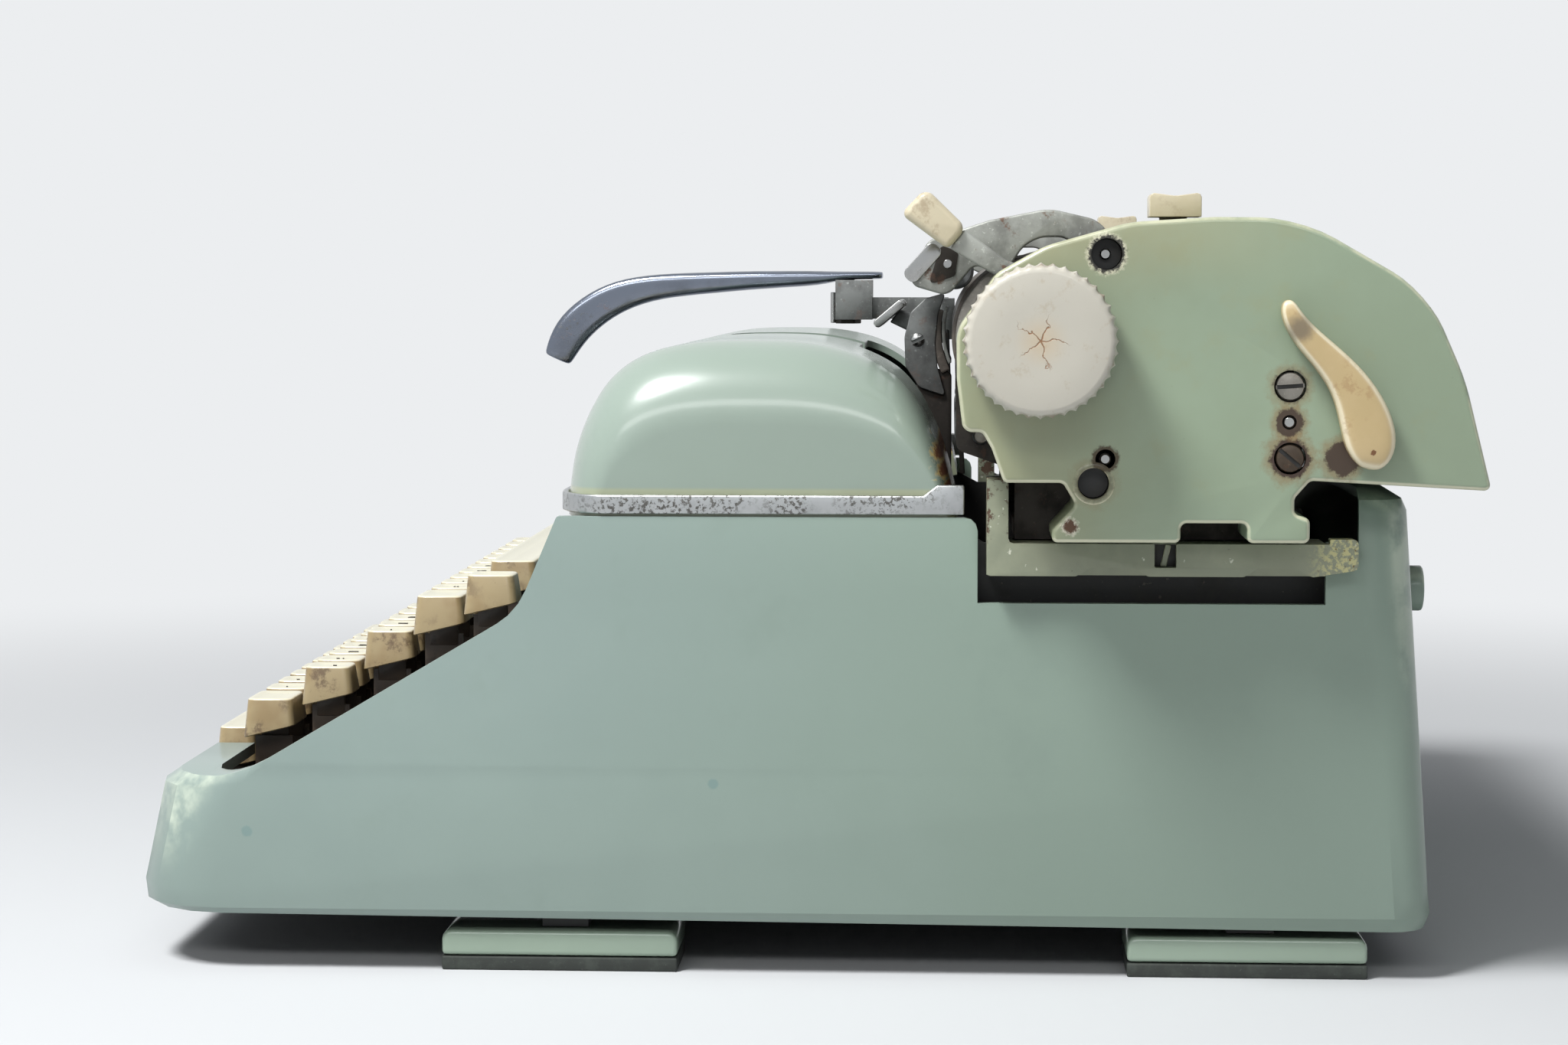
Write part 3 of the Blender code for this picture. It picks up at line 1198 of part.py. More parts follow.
def cover_place(along_share, up_share):
    """A place on the end cover's face, from shares of its length and height."""
    return END_COVER_Y + END_COVER_LENGTH * along_share, END_COVER_Z + END_COVER_HEIGHT * up_share


def make_end_covers(carrier):
    outline = placed(END_COVER_SHARES, (END_COVER_Y, END_COVER_Z), (END_COVER_LENGTH, END_COVER_HEIGHT))
    high = END_COVER_Z + END_COVER_HEIGHT
    edge = END_COVER_ROUND * 0.3
    middle = PLATEN_Y + BUTTON_BACK + BUTTON_LENGTH / 2
    button = BUTTON_LENGTH / 2 + RUNNING
    for name, side in SIDES:
        shell = padded(outline, (
            (side * RIM_X, 0), (side * (COVER_FACE_X - END_COVER_ROUND), 0),
            (side * (COVER_FACE_X - edge), edge), (side * COVER_FACE_X, END_COVER_ROUND),
        ))
        hollow = padded(outline, (
            (side * (RIM_X - OVERRUN), END_COVER_SHELL),
            (side * (COVER_FACE_X - END_COVER_SHELL), END_COVER_SHELL),
        ))
        span = (side * (COVER_FACE_X - END_COVER_SHELL * 2), side * (COVER_FACE_X + OVERRUN))
        holes = [
            through((PLATEN_Y, PLATEN_Z), HUB_HOLE_RADIUS, *span, ROUND_SIDES),
            through(release_pivot(), RELEASE_PIN_RADIUS + RUNNING, *span),
            through(cover_place(*GUIDE_PIN_PLACE_SHARES), GUIDE_PIN_RADIUS + RUNNING, *span),
            through(cover_place(*TOP_HOLE_PLACE_SHARES), PIN_HOLE_RADIUS, *span),
            through(cover_place(*LOW_HOLE_PLACE_SHARES), PIN_HOLE_RADIUS, *span),
            through(cover_place(*SMALL_HOLE_PLACE_SHARES), SMALL_HOLE_RADIUS, *span),
        ]
        for shares in SCREW_PLACE_SHARES:
            holes.append(through(cover_place(*shares), SCREW_HEAD_RADIUS + RUNNING, *span))
        x_low, x_high = sorted((side * (RIM_X - OVERRUN), side * (RIM_X + BUTTON_WIDTH + 2 * RUNNING)))
        slot_low = high - END_COVER_SHELL * 2
        slots = [box((x_low, middle - button, slot_low), (x_high, middle + button, high + OVERRUN))]
        if side > 0:
            arm_x = paper_release_x()
            slots.append(box(
                (arm_x - RUNNING * 2, END_COVER_Y - OVERRUN, PLATEN_Z + SHAFT_RADIUS),
                (arm_x + PAPER_RELEASE_ARM + RUNNING * 2, PLATEN_Y + END_COVER_SHELL * 2, high),
            ))
        piece(f"end_cover_{name}", SAGE_WARM, shell, cut(hollow, holes, slots), carrier=carrier)
        make_cover_bracket(name, side, carrier)


def make_cover_bracket(name, side, carrier):
    """The strip behind the end cover's face, on two posts, with its screw heads and a guide pin."""
    back = COVER_FACE_X - END_COVER_SHELL - GAP
    ends = [cover_place(*shares) for shares in SCREW_PLACE_SHARES]
    middle = sum(y for y, _ in ends) / len(ends)
    x_low, x_high = sorted((side * (back - COVER_STRIP), side * back))
    half = COVER_STRIP_WIDTH / 2
    strip = box(
        (x_low, middle - half, ends[1][1] - SCREW_POST_RADIUS),
        (x_high, middle + half, ends[0][1] + SCREW_POST_RADIUS),
    )
    head_end = side * (COVER_FACE_X + RUNNING)
    inner = side * (back - COVER_STRIP / 2)
    posts = [through(place, SCREW_POST_RADIUS, side * RIM_X, inner) for place in ends]
    heads = [through(place, SCREW_HEAD_RADIUS, inner, head_end, ROUND_SIDES // 2) for place in ends]
    pin = through(cover_place(*GUIDE_PIN_PLACE_SHARES), GUIDE_PIN_RADIUS, inner, side * COVER_FACE_X)
    slots = []
    for y, z in ends:
        reach = SCREW_HEAD_RADIUS + RUNNING
        x_low, x_high = sorted((head_end - side * SCREW_SLOT, head_end + side * OVERRUN))
        slots.append(box((x_low, y - reach, z - SCREW_SLOT / 2), (x_high, y + reach, z + SCREW_SLOT / 2)))
    piece(f"cover_bracket_{name}", DARK_STEEL, strip, join(posts, heads, pin), cut(slots), carrier=carrier)


def make_rear_cover(carrier):
    size = (END_COVER_LENGTH, END_COVER_HEIGHT)
    corners = placed(REAR_SHEET_SHARES, (END_COVER_Y, END_COVER_Z), size)
    points = filleted(corners)
    under = []
    for index, point in enumerate(points):
        before = points[max(index - 1, 0)]
        after = points[min(index + 1, len(points) - 1)]
        along = (after - before).normalized()
        under.append(point + Vector((along.y, -along.x)) * REAR_SHEET)
    section = [(*point, 0) for point in points] + [(*point, 0) for point in reversed(under)]
    piece("rear_cover", SAGE_WARM, prism(section, -PLATE_OUT_X, PLATE_OUT_X), carrier=carrier)


def make_paper_table(carrier):
    inside = PLATE_IN_X - GAP
    foot = (PLATEN_Y + TABLE_FOOT_BACK, PLATEN_Z - TABLE_FOOT_DROP)
    head = (PLATEN_Y + TABLE_HEAD_BACK, PLATEN_Z + TABLE_HEAD_RISE)
    table = [
        (*foot, 0), (*head, 0), (head[0] + TABLE_SHEET, head[1] - TABLE_SHEET / 2, 0),
        (foot[0] + TABLE_SHEET, foot[1] - TABLE_SHEET / 2, 0),
    ]
    piece("paper_table", DARK_STEEL, prism(table, -inside, inside), carrier=carrier)


def make_platen(carriage):
    centre = (0, PLATEN_Y, PLATEN_Z)
    carrier = body("platen_body", centre, carriage)
    bore = SHAFT_RADIUS + RUNNING / 2
    profile = [
        (-PLATEN_HALF, bore), (-PLATEN_HALF, PLATEN_RADIUS),
        (PLATEN_HALF, PLATEN_RADIUS), (PLATEN_HALF, bore),
    ]
    roller = turned(profile, centre, (1, 0, 0), ROUND_SIDES * 2)
    piece("platen_roller", RUBBER, roller, carrier=carrier)
    end = KNOB_BACK_X + KNOB_BORE_DEPTH - RUNNING
    shaft = through(centre[1:], SHAFT_RADIUS, -end, end, ROUND_SIDES)
    start = -RIM_X - RATCHET_THICKNESS / 2
    teeth = []
    for index in range(2 * RATCHET_TEETH):
        radius = RATCHET_RADIUS - (RATCHET_TOOTH if index % 2 else 0)
        angle = pi * index / RATCHET_TEETH
        teeth.append((PLATEN_Y + radius * cos(angle), PLATEN_Z + radius * sin(angle), 0))
    ratchet = prism(teeth, start, start - RATCHET_THICKNESS)
    piece("platen_shaft", STEEL, shaft, join(ratchet), carrier=carrier)
    for name, side in SIDES:
        make_platen_knob(name, side, bore, carrier)


def make_platen_knob(name, side, bore, carrier):
    rings = []
    for x, crest, valley in (
        (KNOB_BACK_X, KNOB_TOOTH, 2 * KNOB_TOOTH),
        (KNOB_BACK_X + KNOB_TOOTH, 0, KNOB_TOOTH),
        (KNOB_FACE_X - KNOB_FACE_INSET, 0, KNOB_TOOTH),
        (KNOB_FACE_X, KNOB_FACE_INSET, KNOB_FACE_INSET),
    ):
        ring = []
        for index in range(2 * KNOB_TEETH):
            radius = KNOB_RADIUS - (valley if index % 2 else crest)
            angle = pi * index / KNOB_TEETH
            ring.append((side * x, PLATEN_Y + radius * cos(angle), PLATEN_Z + radius * sin(angle)))
        rings.append(ring)
    place = (PLATEN_Y, PLATEN_Z)
    hub_start = side * (COVER_FACE_X - END_COVER_SHELL)
    hub = through(place, KNOB_HUB_RADIUS, hub_start, side * (KNOB_BACK_X + KNOB_TOOTH), ROUND_SIDES)
    bore_end = side * (KNOB_BACK_X + KNOB_BORE_DEPTH)
    hole = through(place, bore, hub_start - side * OVERRUN, bore_end, ROUND_SIDES)
    piece(f"platen_knob_{name}", KNOB_WHITE, loft(rings), join(hub), cut(hole), carrier=carrier)


def turned_along_x(steps, centre, sides=SMALL_SIDES):
    """A solid bar along X whose radius changes at each (x, radius) step."""
    circle = [(cos(2 * pi * i / sides), sin(2 * pi * i / sides)) for i in range(sides)]
    return loft([[(x, centre[0] + a * r, centre[1] + b * r) for a, b in circle] for x, r in steps])


def make_feed_rollers(carriage):
    shaft, collar = ROLLER_SHAFT_RADIUS, COLLAR_RADIUS
    steps = [(ROLLER_HALF_LENGTH, ROLLER_RADIUS), (ROLLER_HALF_LENGTH, shaft)]
    for index in range(2):
        start = ROLLER_HALF_LENGTH + COLLAR_WIDTH + index * COLLAR_SPACING
        end = start + COLLAR_WIDTH
        steps += [(start, shaft), (start, collar), (end, collar), (end, shaft)]
    steps.append((PLATE_OUT_X - GAP, shaft))
    steps = [(-x, radius) for x, radius in reversed(steps)] + steps
    for name, way in (("front", -1), ("rear", 1)):
        place = feed_roller_centre(way)
        carrier = body(f"feed_roller_{name}_body", (0, *place), carriage)
        piece(f"feed_roller_{name}", RUBBER, turned_along_x(steps, place), carrier=carrier)


def make_paper_bail(carriage):
    pivot = bail_pivot()
    carrier = body("paper_bail_body", (0, *pivot), carriage)
    outline = placed(BAIL_ARM_SHARES, pivot, (BAIL_REACH, BAIL_RISE))
    arm_out = PLATE_IN_X - GAP * 2
    arm_in = arm_out - BAIL_ARM
    middle = (arm_in + arm_out) / 2
    right, left = (prism(outline, side * arm_in, side * arm_out) for _, side in SIDES)
    pins = [through(pivot, BAIL_PIN_RADIUS, side * middle, side * PLATE_OUT_X) for _, side in SIDES]
    bar_place = (PLATEN_Y - BAIL_BAR_FORWARD, PLATEN_Z + BAIL_BAR_RISE)
    corner = BAIL_BAR_THICKNESS / 3
    bar = bar_outline(bar_place, BAIL_BAR_TILT, BAIL_BAR_LENGTH, BAIL_BAR_THICKNESS, corner)
    strip = prism(bar, -middle, middle)
    piece("paper_bail", ZINC, right, join(pins, strip, left), carrier=carrier)
    rod_place = (PLATEN_Y - BAIL_ROD_FORWARD, PLATEN_Z + BAIL_ROD_RISE)
    half = BAIL_ROLLER_LENGTH / 2
    steps = [(GAP - arm_in, BAIL_ROD_RADIUS)]
    for centre in (-BAIL_ROLLER_SPACING, 0, BAIL_ROLLER_SPACING):
        low, high = centre - half, centre + half
        steps += [
            (low, BAIL_ROD_RADIUS), (low, BAIL_ROLLER_RADIUS),
            (high, BAIL_ROLLER_RADIUS), (high, BAIL_ROD_RADIUS),
        ]
    steps.append((arm_in - GAP, BAIL_ROD_RADIUS))
    piece("bail_rollers", RUBBER, turned_along_x(steps, rod_place), carrier=carrier)


def make_line_space_lever(carriage):
    pivot_y = PLATEN_Y - LEVER_FORWARD
    pivot_x = -COVER_FACE_X - LEVER_SIDE_OFFSET
    top = PLATEN_Z + LEVER_RISE
    low = top - LEVER_DROP
    places = []
    for along, up, tall, wide in LINE_LEVER_SHARES:
        centre = Vector((pivot_y - along * LEVER_LENGTH, low + up * LEVER_DROP))
        places.append((centre, tall * LEVER_DROP, wide * LEVER_LENGTH))
    sides = 8
    rings = []
    for index, (centre, tall, wide) in enumerate(places):
        before = places[max(index - 1, 0)][0]
        after = places[min(index + 1, len(places) - 1)][0]
        along = (before - after).normalized()
        normal = Vector((-along.y, along.x))
        ring = []
        for step in range(sides):
            angle = 2 * pi * (step + 0.5) / sides
            place = centre + normal * tall * sin(angle)
            ring.append((pivot_x + wide * cos(angle), *place))
        rings.append(ring)
    blade_low = low + LEVER_DROP * (LINE_LEVER_SHARES[0][1] - LINE_LEVER_SHARES[0][2])
    seat = blade_low - GAP
    foot, head = (pivot_x, pivot_y, seat - OVERRUN), (pivot_x, pivot_y, top + OVERRUN)
    hole = rod(foot, head, LEVER_PIN_RADIUS + RUNNING)
    carrier = body("line_space_lever_body", (pivot_x, pivot_y, top), carriage)
    piece("line_space_lever", CHROME, loft(rings), cut(hole), carrier=carrier)
    half = BRACKET_WIDTH / 2
    arm_low = COVER_TOP_Z + BRACKET_CLEARANCE
    arm_high = arm_low + BRACKET_ARM_HEIGHT
    front = pivot_y - BRACKET_DEPTH / 3
    rear = PLATE_Y - GAP
    post = box((pivot_x - half, front, arm_low), (pivot_x + half, front + BRACKET_DEPTH, seat))
    arm = box(
        (pivot_x - half / 2, front + BRACKET_DEPTH / 2, arm_low + GAP),
        (pivot_x + half / 2, rear - BRACKET_CROSS_DEPTH / 2, arm_high),
    )
    cross = box(
        (pivot_x - half / 2, rear - BRACKET_CROSS_DEPTH, arm_low - BRACKET_CROSS_DROP),
        (-PLATE_IN_X, rear, arm_high - GAP),
    )
    pin = rod(foot, (pivot_x, pivot_y, top), LEVER_PIN_RADIUS)
    piece("line_space_bracket", ZINC, post, join(arm, cross, pin), carrier=carriage)


def make_paper_release(carriage):
    pivot = paper_release_pivot()
    size = (PAPER_RELEASE_REACH, PAPER_RELEASE_HEIGHT)
    start = paper_release_x()
    end = start + PAPER_RELEASE_ARM
    carrier = body("paper_release_body", (start, *pivot), carriage)
    arm = prism(placed(PAPER_ARM_SHARES, pivot, size), start, end)
    middle = (start + end) / 2
    half = TIP_THICKNESS / 2
    edge = TIP_THICKNESS / 8
    tip = padded(placed(PAPER_TIP_SHARES, pivot, size), (
        (middle - half, edge), (middle - half + edge, 0), (middle + half - edge, 0), (middle + half, edge),
    ))
    hole = through(pivot, PAPER_RELEASE_PIN + RUNNING, start - OVERRUN, end + OVERRUN)
    piece("paper_release_lever", IVORY, arm, join(tip), cut(hole), carrier=carrier)


def make_release_levers(carriage):
    pivot = release_pivot()
    outline = placed(RELEASE_LEVER_SHARES, pivot, (RELEASE_LENGTH, RELEASE_HEIGHT))
    edge = RELEASE_THICKNESS / 5
    start = COVER_FACE_X + GAP * 2
    end = start + RELEASE_THICKNESS
    for name, side in SIDES:
        carrier = body(f"carriage_release_{name}_body", (side * COVER_FACE_X, *pivot), carriage)
        lever = padded(outline, (
            (side * start, edge), (side * (start + edge), 0), (side * (end - edge), 0), (side * end, edge),
        ))
        pin = through(pivot, RELEASE_PIN_RADIUS, side * RIM_X, side * (start + edge))
        piece(f"carriage_release_lever_{name}", TAN, lever, join(pin), carrier=carrier)


def make_margin_buttons(carriage):
    front = PLATEN_Y + BUTTON_BACK
    rear = front + BUTTON_LENGTH
    middle = (front + rear) / 2
    low = END_COVER_Z + END_COVER_HEIGHT + GAP
    high = low + BUTTON_HEIGHT
    dip = BUTTON_HEIGHT / 7
    corners = [
        (front, low, 0), (rear, low, 0), (rear, high, GAP * 4),
        (middle, high - dip, BUTTON_LENGTH / 3), (front, high, GAP * 4),
    ]
    for name, side in SIDES:
        inner = RIM_X + RUNNING
        carrier = body(f"margin_button_{name}_body", (side * inner, middle, low), carriage)
        block = prism(corners, side * inner, side * (inner + BUTTON_WIDTH))
        stem_x = PLATE_OUT_X + GAP
        x_low, x_high = sorted((side * stem_x, side * (stem_x + BUTTON_STEM_WIDTH)))
        stem = box(
            (x_low, middle - BUTTON_STEM_DEPTH / 2, low - BUTTON_STEM_LENGTH),
            (x_high, middle + BUTTON_STEM_DEPTH / 2, low + BUTTON_HEIGHT / 4),
        )
        piece(f"margin_button_{name}", IVORY, block, join(stem), carrier=carrier)


def make_carriage():
    carriage = body("carriage_body", (0, PLATEN_Y, CARRIAGE_BASE_Z))
    make_carriage_frame(carriage)
    make_end_covers(carriage)
    make_rear_cover(carriage)
    make_paper_table(carriage)
    make_platen(carriage)
    make_feed_rollers(carriage)
    make_paper_bail(carriage)
    make_line_space_lever(carriage)
    make_paper_release(carriage)
    make_release_levers(carriage)
    make_margin_buttons(carriage)


# Keyboard

def key_cap(x, width, front, top, depth=KEY_DEPTH, heights=KEY_HEIGHTS):
    """A tapered cap with a slanted underside."""
    corner = KEY_CORNER
    lower = [
        (x - width / 2, front, corner), (x + width / 2, front, corner),
        (x + width / 2, front + depth, corner), (x - width / 2, front + depth, corner),
    ]
    upper = filleted(inset(lower, KEY_TOP_INSET), 1)
    slope = (heights[0] - heights[1]) / depth
    under = top - heights[0]
    return loft([
        [(p.x, p.y, under + slope * (p.y - front)) for p in filleted(lower, 1)],
        [(p.x, p.y, top) for p in upper],
    ])


def key_lever(x, front, top, depth=KEY_DEPTH, heights=KEY_HEIGHTS, stem=STEM_DEPTH, bar_y=None):
    """The stem under a cap and the long lever behind it, in one sheet forked over the shaft."""
    start = front + (depth - stem) / 2
    end = start + stem
    seat = top - heights[1] + STEM_GRIP / 4
    notch = LEVER_SHAFT_RADIUS + GAP
    fork = notch + LEVER_FORK
    fork_low = SHAFT_Z - LEVER_SHAFT_RADIUS
    corners = [(start, LEVER_LOW_Z, 0)]
    if bar_y is not None:
        tab_low = LEVER_LOW_Z - ROW_BAR_DROP - ROW_BAR_SIZE / 2
        half = ROW_BAR_SIZE / 3
        corners += [
            (bar_y - half, LEVER_LOW_Z, 0), (bar_y - half, tab_low, 0),
            (bar_y + half, tab_low, 0), (bar_y + half, LEVER_LOW_Z, 0),
        ]
    corners += [
        (SHAFT_Y - fork, LEVER_LOW_Z, 0), (SHAFT_Y - fork, fork_low, 0),
        (SHAFT_Y - notch, fork_low, 0), (SHAFT_Y - notch, LEVER_LOW_Z, 0),
        (SHAFT_Y + notch, LEVER_LOW_Z, 0), (SHAFT_Y + notch, fork_low, 0),
        (SHAFT_Y + fork, fork_low, 0), (SHAFT_Y + fork, LEVER_HIGH_Z, 0),
        (end, LEVER_HIGH_Z, 0), (end, seat, 0), (start, seat, 0),
    ]
    return prism(corners, x - STEM_SHEET / 2, x + STEM_SHEET / 2)


def row_place(row):
    """Front edge and top of a row of keys, counted from the typist."""
    return FRONT_Y + FIRST_ROW_SETBACK + KEY_PITCH * row, FIRST_ROW_TOP + ROW_RISES[row]


def keyed(name, finish, solid, *steps):
    """A keyboard piece on its own empty, on the lever shaft."""
    carrier = body(name + "_body", (0, SHAFT_Y, SHAFT_Z))
    piece(name, finish, solid, *steps, carrier=carrier)


def single_key(name, finish, x, width, row, lever_x=None, drop=0.0):
    front, top = row_place(row)
    lever = key_lever(x if lever_x is None else lever_x, front, top - drop)
    keyed(name, finish, key_cap(x, width, front, top - drop), join(lever))


def make_key_rows(starts, counts):
    """Each row as one piece: its levers are joined by a thin bar near the shaft."""
    for row, (start, count) in enumerate(zip(starts, counts)):
        front, top = row_place(row)
        bar_y = SHAFT_Y - LEVER_SHAFT_RADIUS - LEVER_FORK - ROW_BAR_SPACING * (row + 1)
        places = [start + index * KEY_PITCH for index in range(count)]
        if row == STRIKE_ROW:
            keyed("strike_key", IVORY, *strike_key_solids(places.pop(STRIKE_INDEX), front, top))
        caps = [key_cap(x, KEY_WIDTH, front, top) for x in places]
        levers = [key_lever(x, front, top, bar_y=bar_y) for x in places]
        half = ROW_BAR_SIZE / 2
        high = LEVER_LOW_Z - ROW_BAR_DROP
        edge = STEM_SHEET / 2 + GAP
        bar_low = (places[0] - edge, bar_y - half, high - ROW_BAR_SIZE)
        bar = box(bar_low, (places[-1] + edge, bar_y + half, high))
        keyed(f"key_row_{row + 1}", IVORY, bar, join(levers, caps))


def strike_key_solids(x, front, top):
    return key_cap(x, KEY_WIDTH, front, top), join(key_lever(x, front, top))


def make_keyboard():
    slot = KEY_PITCH / 4
    first = -5.26 * KEY_PITCH
    starts = (first + slot * 5, first + slot * 3, first + slot * 2, first)
    counts = (9, 11, 11, 11)
    make_key_rows(starts, counts)
    right = starts[0] + (counts[0] - 1) * KEY_PITCH
    left = starts[0] - KEY_PITCH * 1.4
    lever_x = starts[1] + 10 * KEY_PITCH - slot / 2
    single_key("shift_key_right", IVORY, right + WIDE_KEY, WIDE_KEY, 0, lever_x)
    single_key("shift_key_left", IVORY, left, WIDE_KEY, 0, first - slot)
    lock = left - WIDE_KEY
    single_key("shift_lock_key", BROWN, lock, KEY_WIDTH, 0, lock + slot * 0.8, drop=KEY_CORNER)
    single_key("backspace_key", IVORY, starts[3] + (counts[3] - 1) * KEY_PITCH + WIDE_KEY, WIDE_KEY, 3)
    side_x = HALF_WIDTH - BODY_WALL - KEY_PITCH * 1.3
    single_key("margin_release_key", IVORY, side_x, KEY_WIDTH, 4)
    single_key("ribbon_key", IVORY, -side_x, KEY_WIDTH, 4)
    heights = (SPACE_BAR_HEIGHT, SPACE_BAR_HEIGHT * 0.8)
    place = (FRONT_Y + SPACE_BAR_SETBACK, SPACE_BAR_TOP, SPACE_BAR_DEPTH, heights)
    space_levers = [
        key_lever(first + slot * slots, *place, SPACE_BAR_STEM) for slots in (5.5, 36.5)
    ]
    keyed("space_bar", IVORY, key_cap(0, SPACE_BAR_LENGTH, *place), join(space_levers))
    front, top = row_place(4)
    tab_levers = [key_lever(first + slot * slots, front, top) for slots in (3.5, 40.5)]
    keyed("tab_bar", IVORY, key_cap(0, TAB_BAR_LENGTH, front, top), join(tab_levers))


def main():
    for existing in list(bpy.data.objects):
        bpy.data.objects.remove(existing, do_unlink=True)
    make_body_shell()
    make_rear_cap()
    make_trays()
    make_feet()
    make_bottom_plate()
    make_base_frame()
    make_spring_drum()
    make_type_basket()
    make_card_guides()
    make_ribbon_cover()
    make_ribbon_spools()
    make_carriage()
    make_keyboard()


main()
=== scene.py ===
"""Dress of the manual typewriter: enamel, bright metal, aged plastic and the finer shapes of its pieces."""

import json

import bmesh
import bpy
from math import ceil, cos, pi, radians, sin, tan
from mathutils import Matrix, Vector


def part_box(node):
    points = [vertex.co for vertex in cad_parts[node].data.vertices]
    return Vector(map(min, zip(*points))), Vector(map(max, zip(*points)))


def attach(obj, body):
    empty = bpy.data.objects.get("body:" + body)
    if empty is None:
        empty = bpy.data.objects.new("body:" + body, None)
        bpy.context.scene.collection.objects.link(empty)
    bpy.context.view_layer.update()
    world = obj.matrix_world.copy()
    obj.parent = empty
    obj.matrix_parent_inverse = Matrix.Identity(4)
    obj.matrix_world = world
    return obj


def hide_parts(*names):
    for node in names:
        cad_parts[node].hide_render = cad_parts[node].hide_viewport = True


MM = 0.001
TINY = 0.01 * MM
ARC_STEP = radians(7)
ACROSS = Vector((1, 0, 0))
SIDES = (("right", 1), ("left", -1))

# The photograph's view
IMAGE_WIDTH = 2048
FOCAL_PIXELS = 4200
SENSOR_WIDTH = 36
CAMERA_PLACE = Vector((1115, 47.5, 208)) * MM
CAMERA_YAW = radians(3.0)
CAMERA_PITCH = radians(4.3)

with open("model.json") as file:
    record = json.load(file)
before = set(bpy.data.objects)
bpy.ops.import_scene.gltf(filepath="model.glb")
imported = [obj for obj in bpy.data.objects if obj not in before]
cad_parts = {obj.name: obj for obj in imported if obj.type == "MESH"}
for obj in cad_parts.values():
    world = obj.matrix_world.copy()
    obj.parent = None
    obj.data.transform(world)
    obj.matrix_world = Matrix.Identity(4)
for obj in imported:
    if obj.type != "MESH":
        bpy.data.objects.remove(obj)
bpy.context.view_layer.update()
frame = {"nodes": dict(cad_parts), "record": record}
BODY_OF = {node: body for body, nodes in frame["record"]["behaviour"]["bodies"].items() for node in nodes}


# Shapes

def middle_of(node):
    low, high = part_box(node)
    return (low + high) / 2


def as_mesh(name, solid):
    mesh = bpy.data.meshes.new(name)
    solid.to_mesh(mesh)
    solid.free()
    return mesh


def placed(name, data):
    """A new object of the scene that holds the data."""
    thing = bpy.data.objects.new(name, data)
    bpy.context.scene.collection.objects.link(thing)
    return thing


def finished(name, solid, finish, body, *nodes, smooth=40):
    """Makes the piece from its bmesh, gives it its finish and sets it on its body."""
    mesh = as_mesh(name, solid)
    mesh.shade_smooth()
    mesh.set_sharp_from_angle(angle=radians(smooth))
    mesh.materials.clear()
    mesh.materials.append(FINISHES[finish])
    piece = placed(name, mesh)
    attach(piece, body)
    if nodes:
        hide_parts(*nodes)
    return piece


def joined(*solids):
    """One bmesh from several."""
    whole = solids[0]
    for solid in solids[1:]:
        mesh = as_mesh("passing", solid)
        whole.from_mesh(mesh)
        bpy.data.meshes.remove(mesh)
    return whole


def carved(solid, *cutters):
    """Takes each cutter out of the solid and gives the result as a bmesh."""
    things = [placed("carving", as_mesh("carving", part)) for part in (solid, *cutters)]
    for cutter in things[1:]:
        step = things[0].modifiers.new("cut", "BOOLEAN")
        step.operation = "DIFFERENCE"
        step.object = cutter
        step.solver = "EXACT"
    graph = bpy.context.evaluated_depsgraph_get()
    result = bmesh.new()
    result.from_mesh(things[0].evaluated_get(graph).data)
    for thing in things:
        mesh = thing.data
        bpy.data.objects.remove(thing)
        bpy.data.meshes.remove(mesh)
    bmesh.ops.remove_doubles(result, verts=result.verts, dist=TINY)
    return result


def eased(solid, edges, width, segments=3):
    bmesh.ops.bevel(
        solid, geom=edges, offset=width, offset_type="OFFSET", affect="EDGES", segments=segments,
        profile=0.5, material=-1, clamp_overlap=True,
    )
    return solid


def rounded(solid, width, segments=3, angle=35):
    """Rounds every edge that is sharper than the angle."""
    edges = [e for e in solid.edges if e.is_manifold and e.calc_face_angle(0) > radians(angle)]
    return eased(solid, edges, width, segments)


def copied(node):
    """A CAD node as a clean bmesh: merged, with its flat faces whole again."""
    solid = bmesh.new()
    solid.from_mesh(frame["nodes"][node].data)
    bmesh.ops.remove_doubles(solid, verts=solid.verts, dist=TINY)
    bmesh.ops.dissolve_limit(
        solid, angle_limit=radians(0.8), verts=solid.verts, edges=solid.edges, delimit={"NORMAL"},
    )
    return solid


def mirrored(solid):
    """The same form on the machine's other side."""
    bmesh.ops.scale(solid, verts=solid.verts, vec=(-1, 1, 1))
    bmesh.ops.reverse_faces(solid, faces=solid.faces)
    return solid


def on_side(solid, side):
    return solid if side > 0 else mirrored(solid)


def paired(*solids):
    """The solids together with their mirror images on the machine's other side."""
    whole = joined(*solids)
    return joined(whole, mirrored(whole.copy()))


def outline_face(corners, x, inset=0.0):
    """A flat face across X from corners (y, z, radius), each rounded; inset draws all its sides in."""
    flat = bmesh.new()
    plate = flat.faces.new([flat.verts.new((x, y, z)) for y, z, _ in corners])
    if inset:
        plate.normal_update()
        bmesh.ops.inset_region(flat, faces=[plate], thickness=inset, use_even_offset=True, use_boundary=True)
        bmesh.ops.delete(flat, geom=[face for face in flat.faces if face != plate], context="FACES")
    points = [loop.vert for loop in plate.loops]
    places = [point.co.yz for point in points]
    turn = sum(a.x * b.y - a.y * b.x for a, b in zip(places, places[1:] + places[:1]))
    for index, point in enumerate(points):
        before = places[index - 1] - places[index]
        after = places[(index + 1) % len(places)] - places[index]
        convex = (after.x * before.y - after.y * before.x) * turn > 0
        radius = corners[index][2]
        if not radius:
            continue
        radius = max(radius - inset, 0.4 * MM) if convex else radius + inset
        angle = before.angle(after)
        reach = min(radius / tan(angle / 2), before.length * 0.48, after.length * 0.48)
        bmesh.ops.bevel(
            flat, geom=[point], offset=reach, offset_type="OFFSET", affect="VERTICES",
            segments=max(3, ceil((pi - angle) / ARC_STEP)), profile=0.5, material=-1,
        )
    return flat


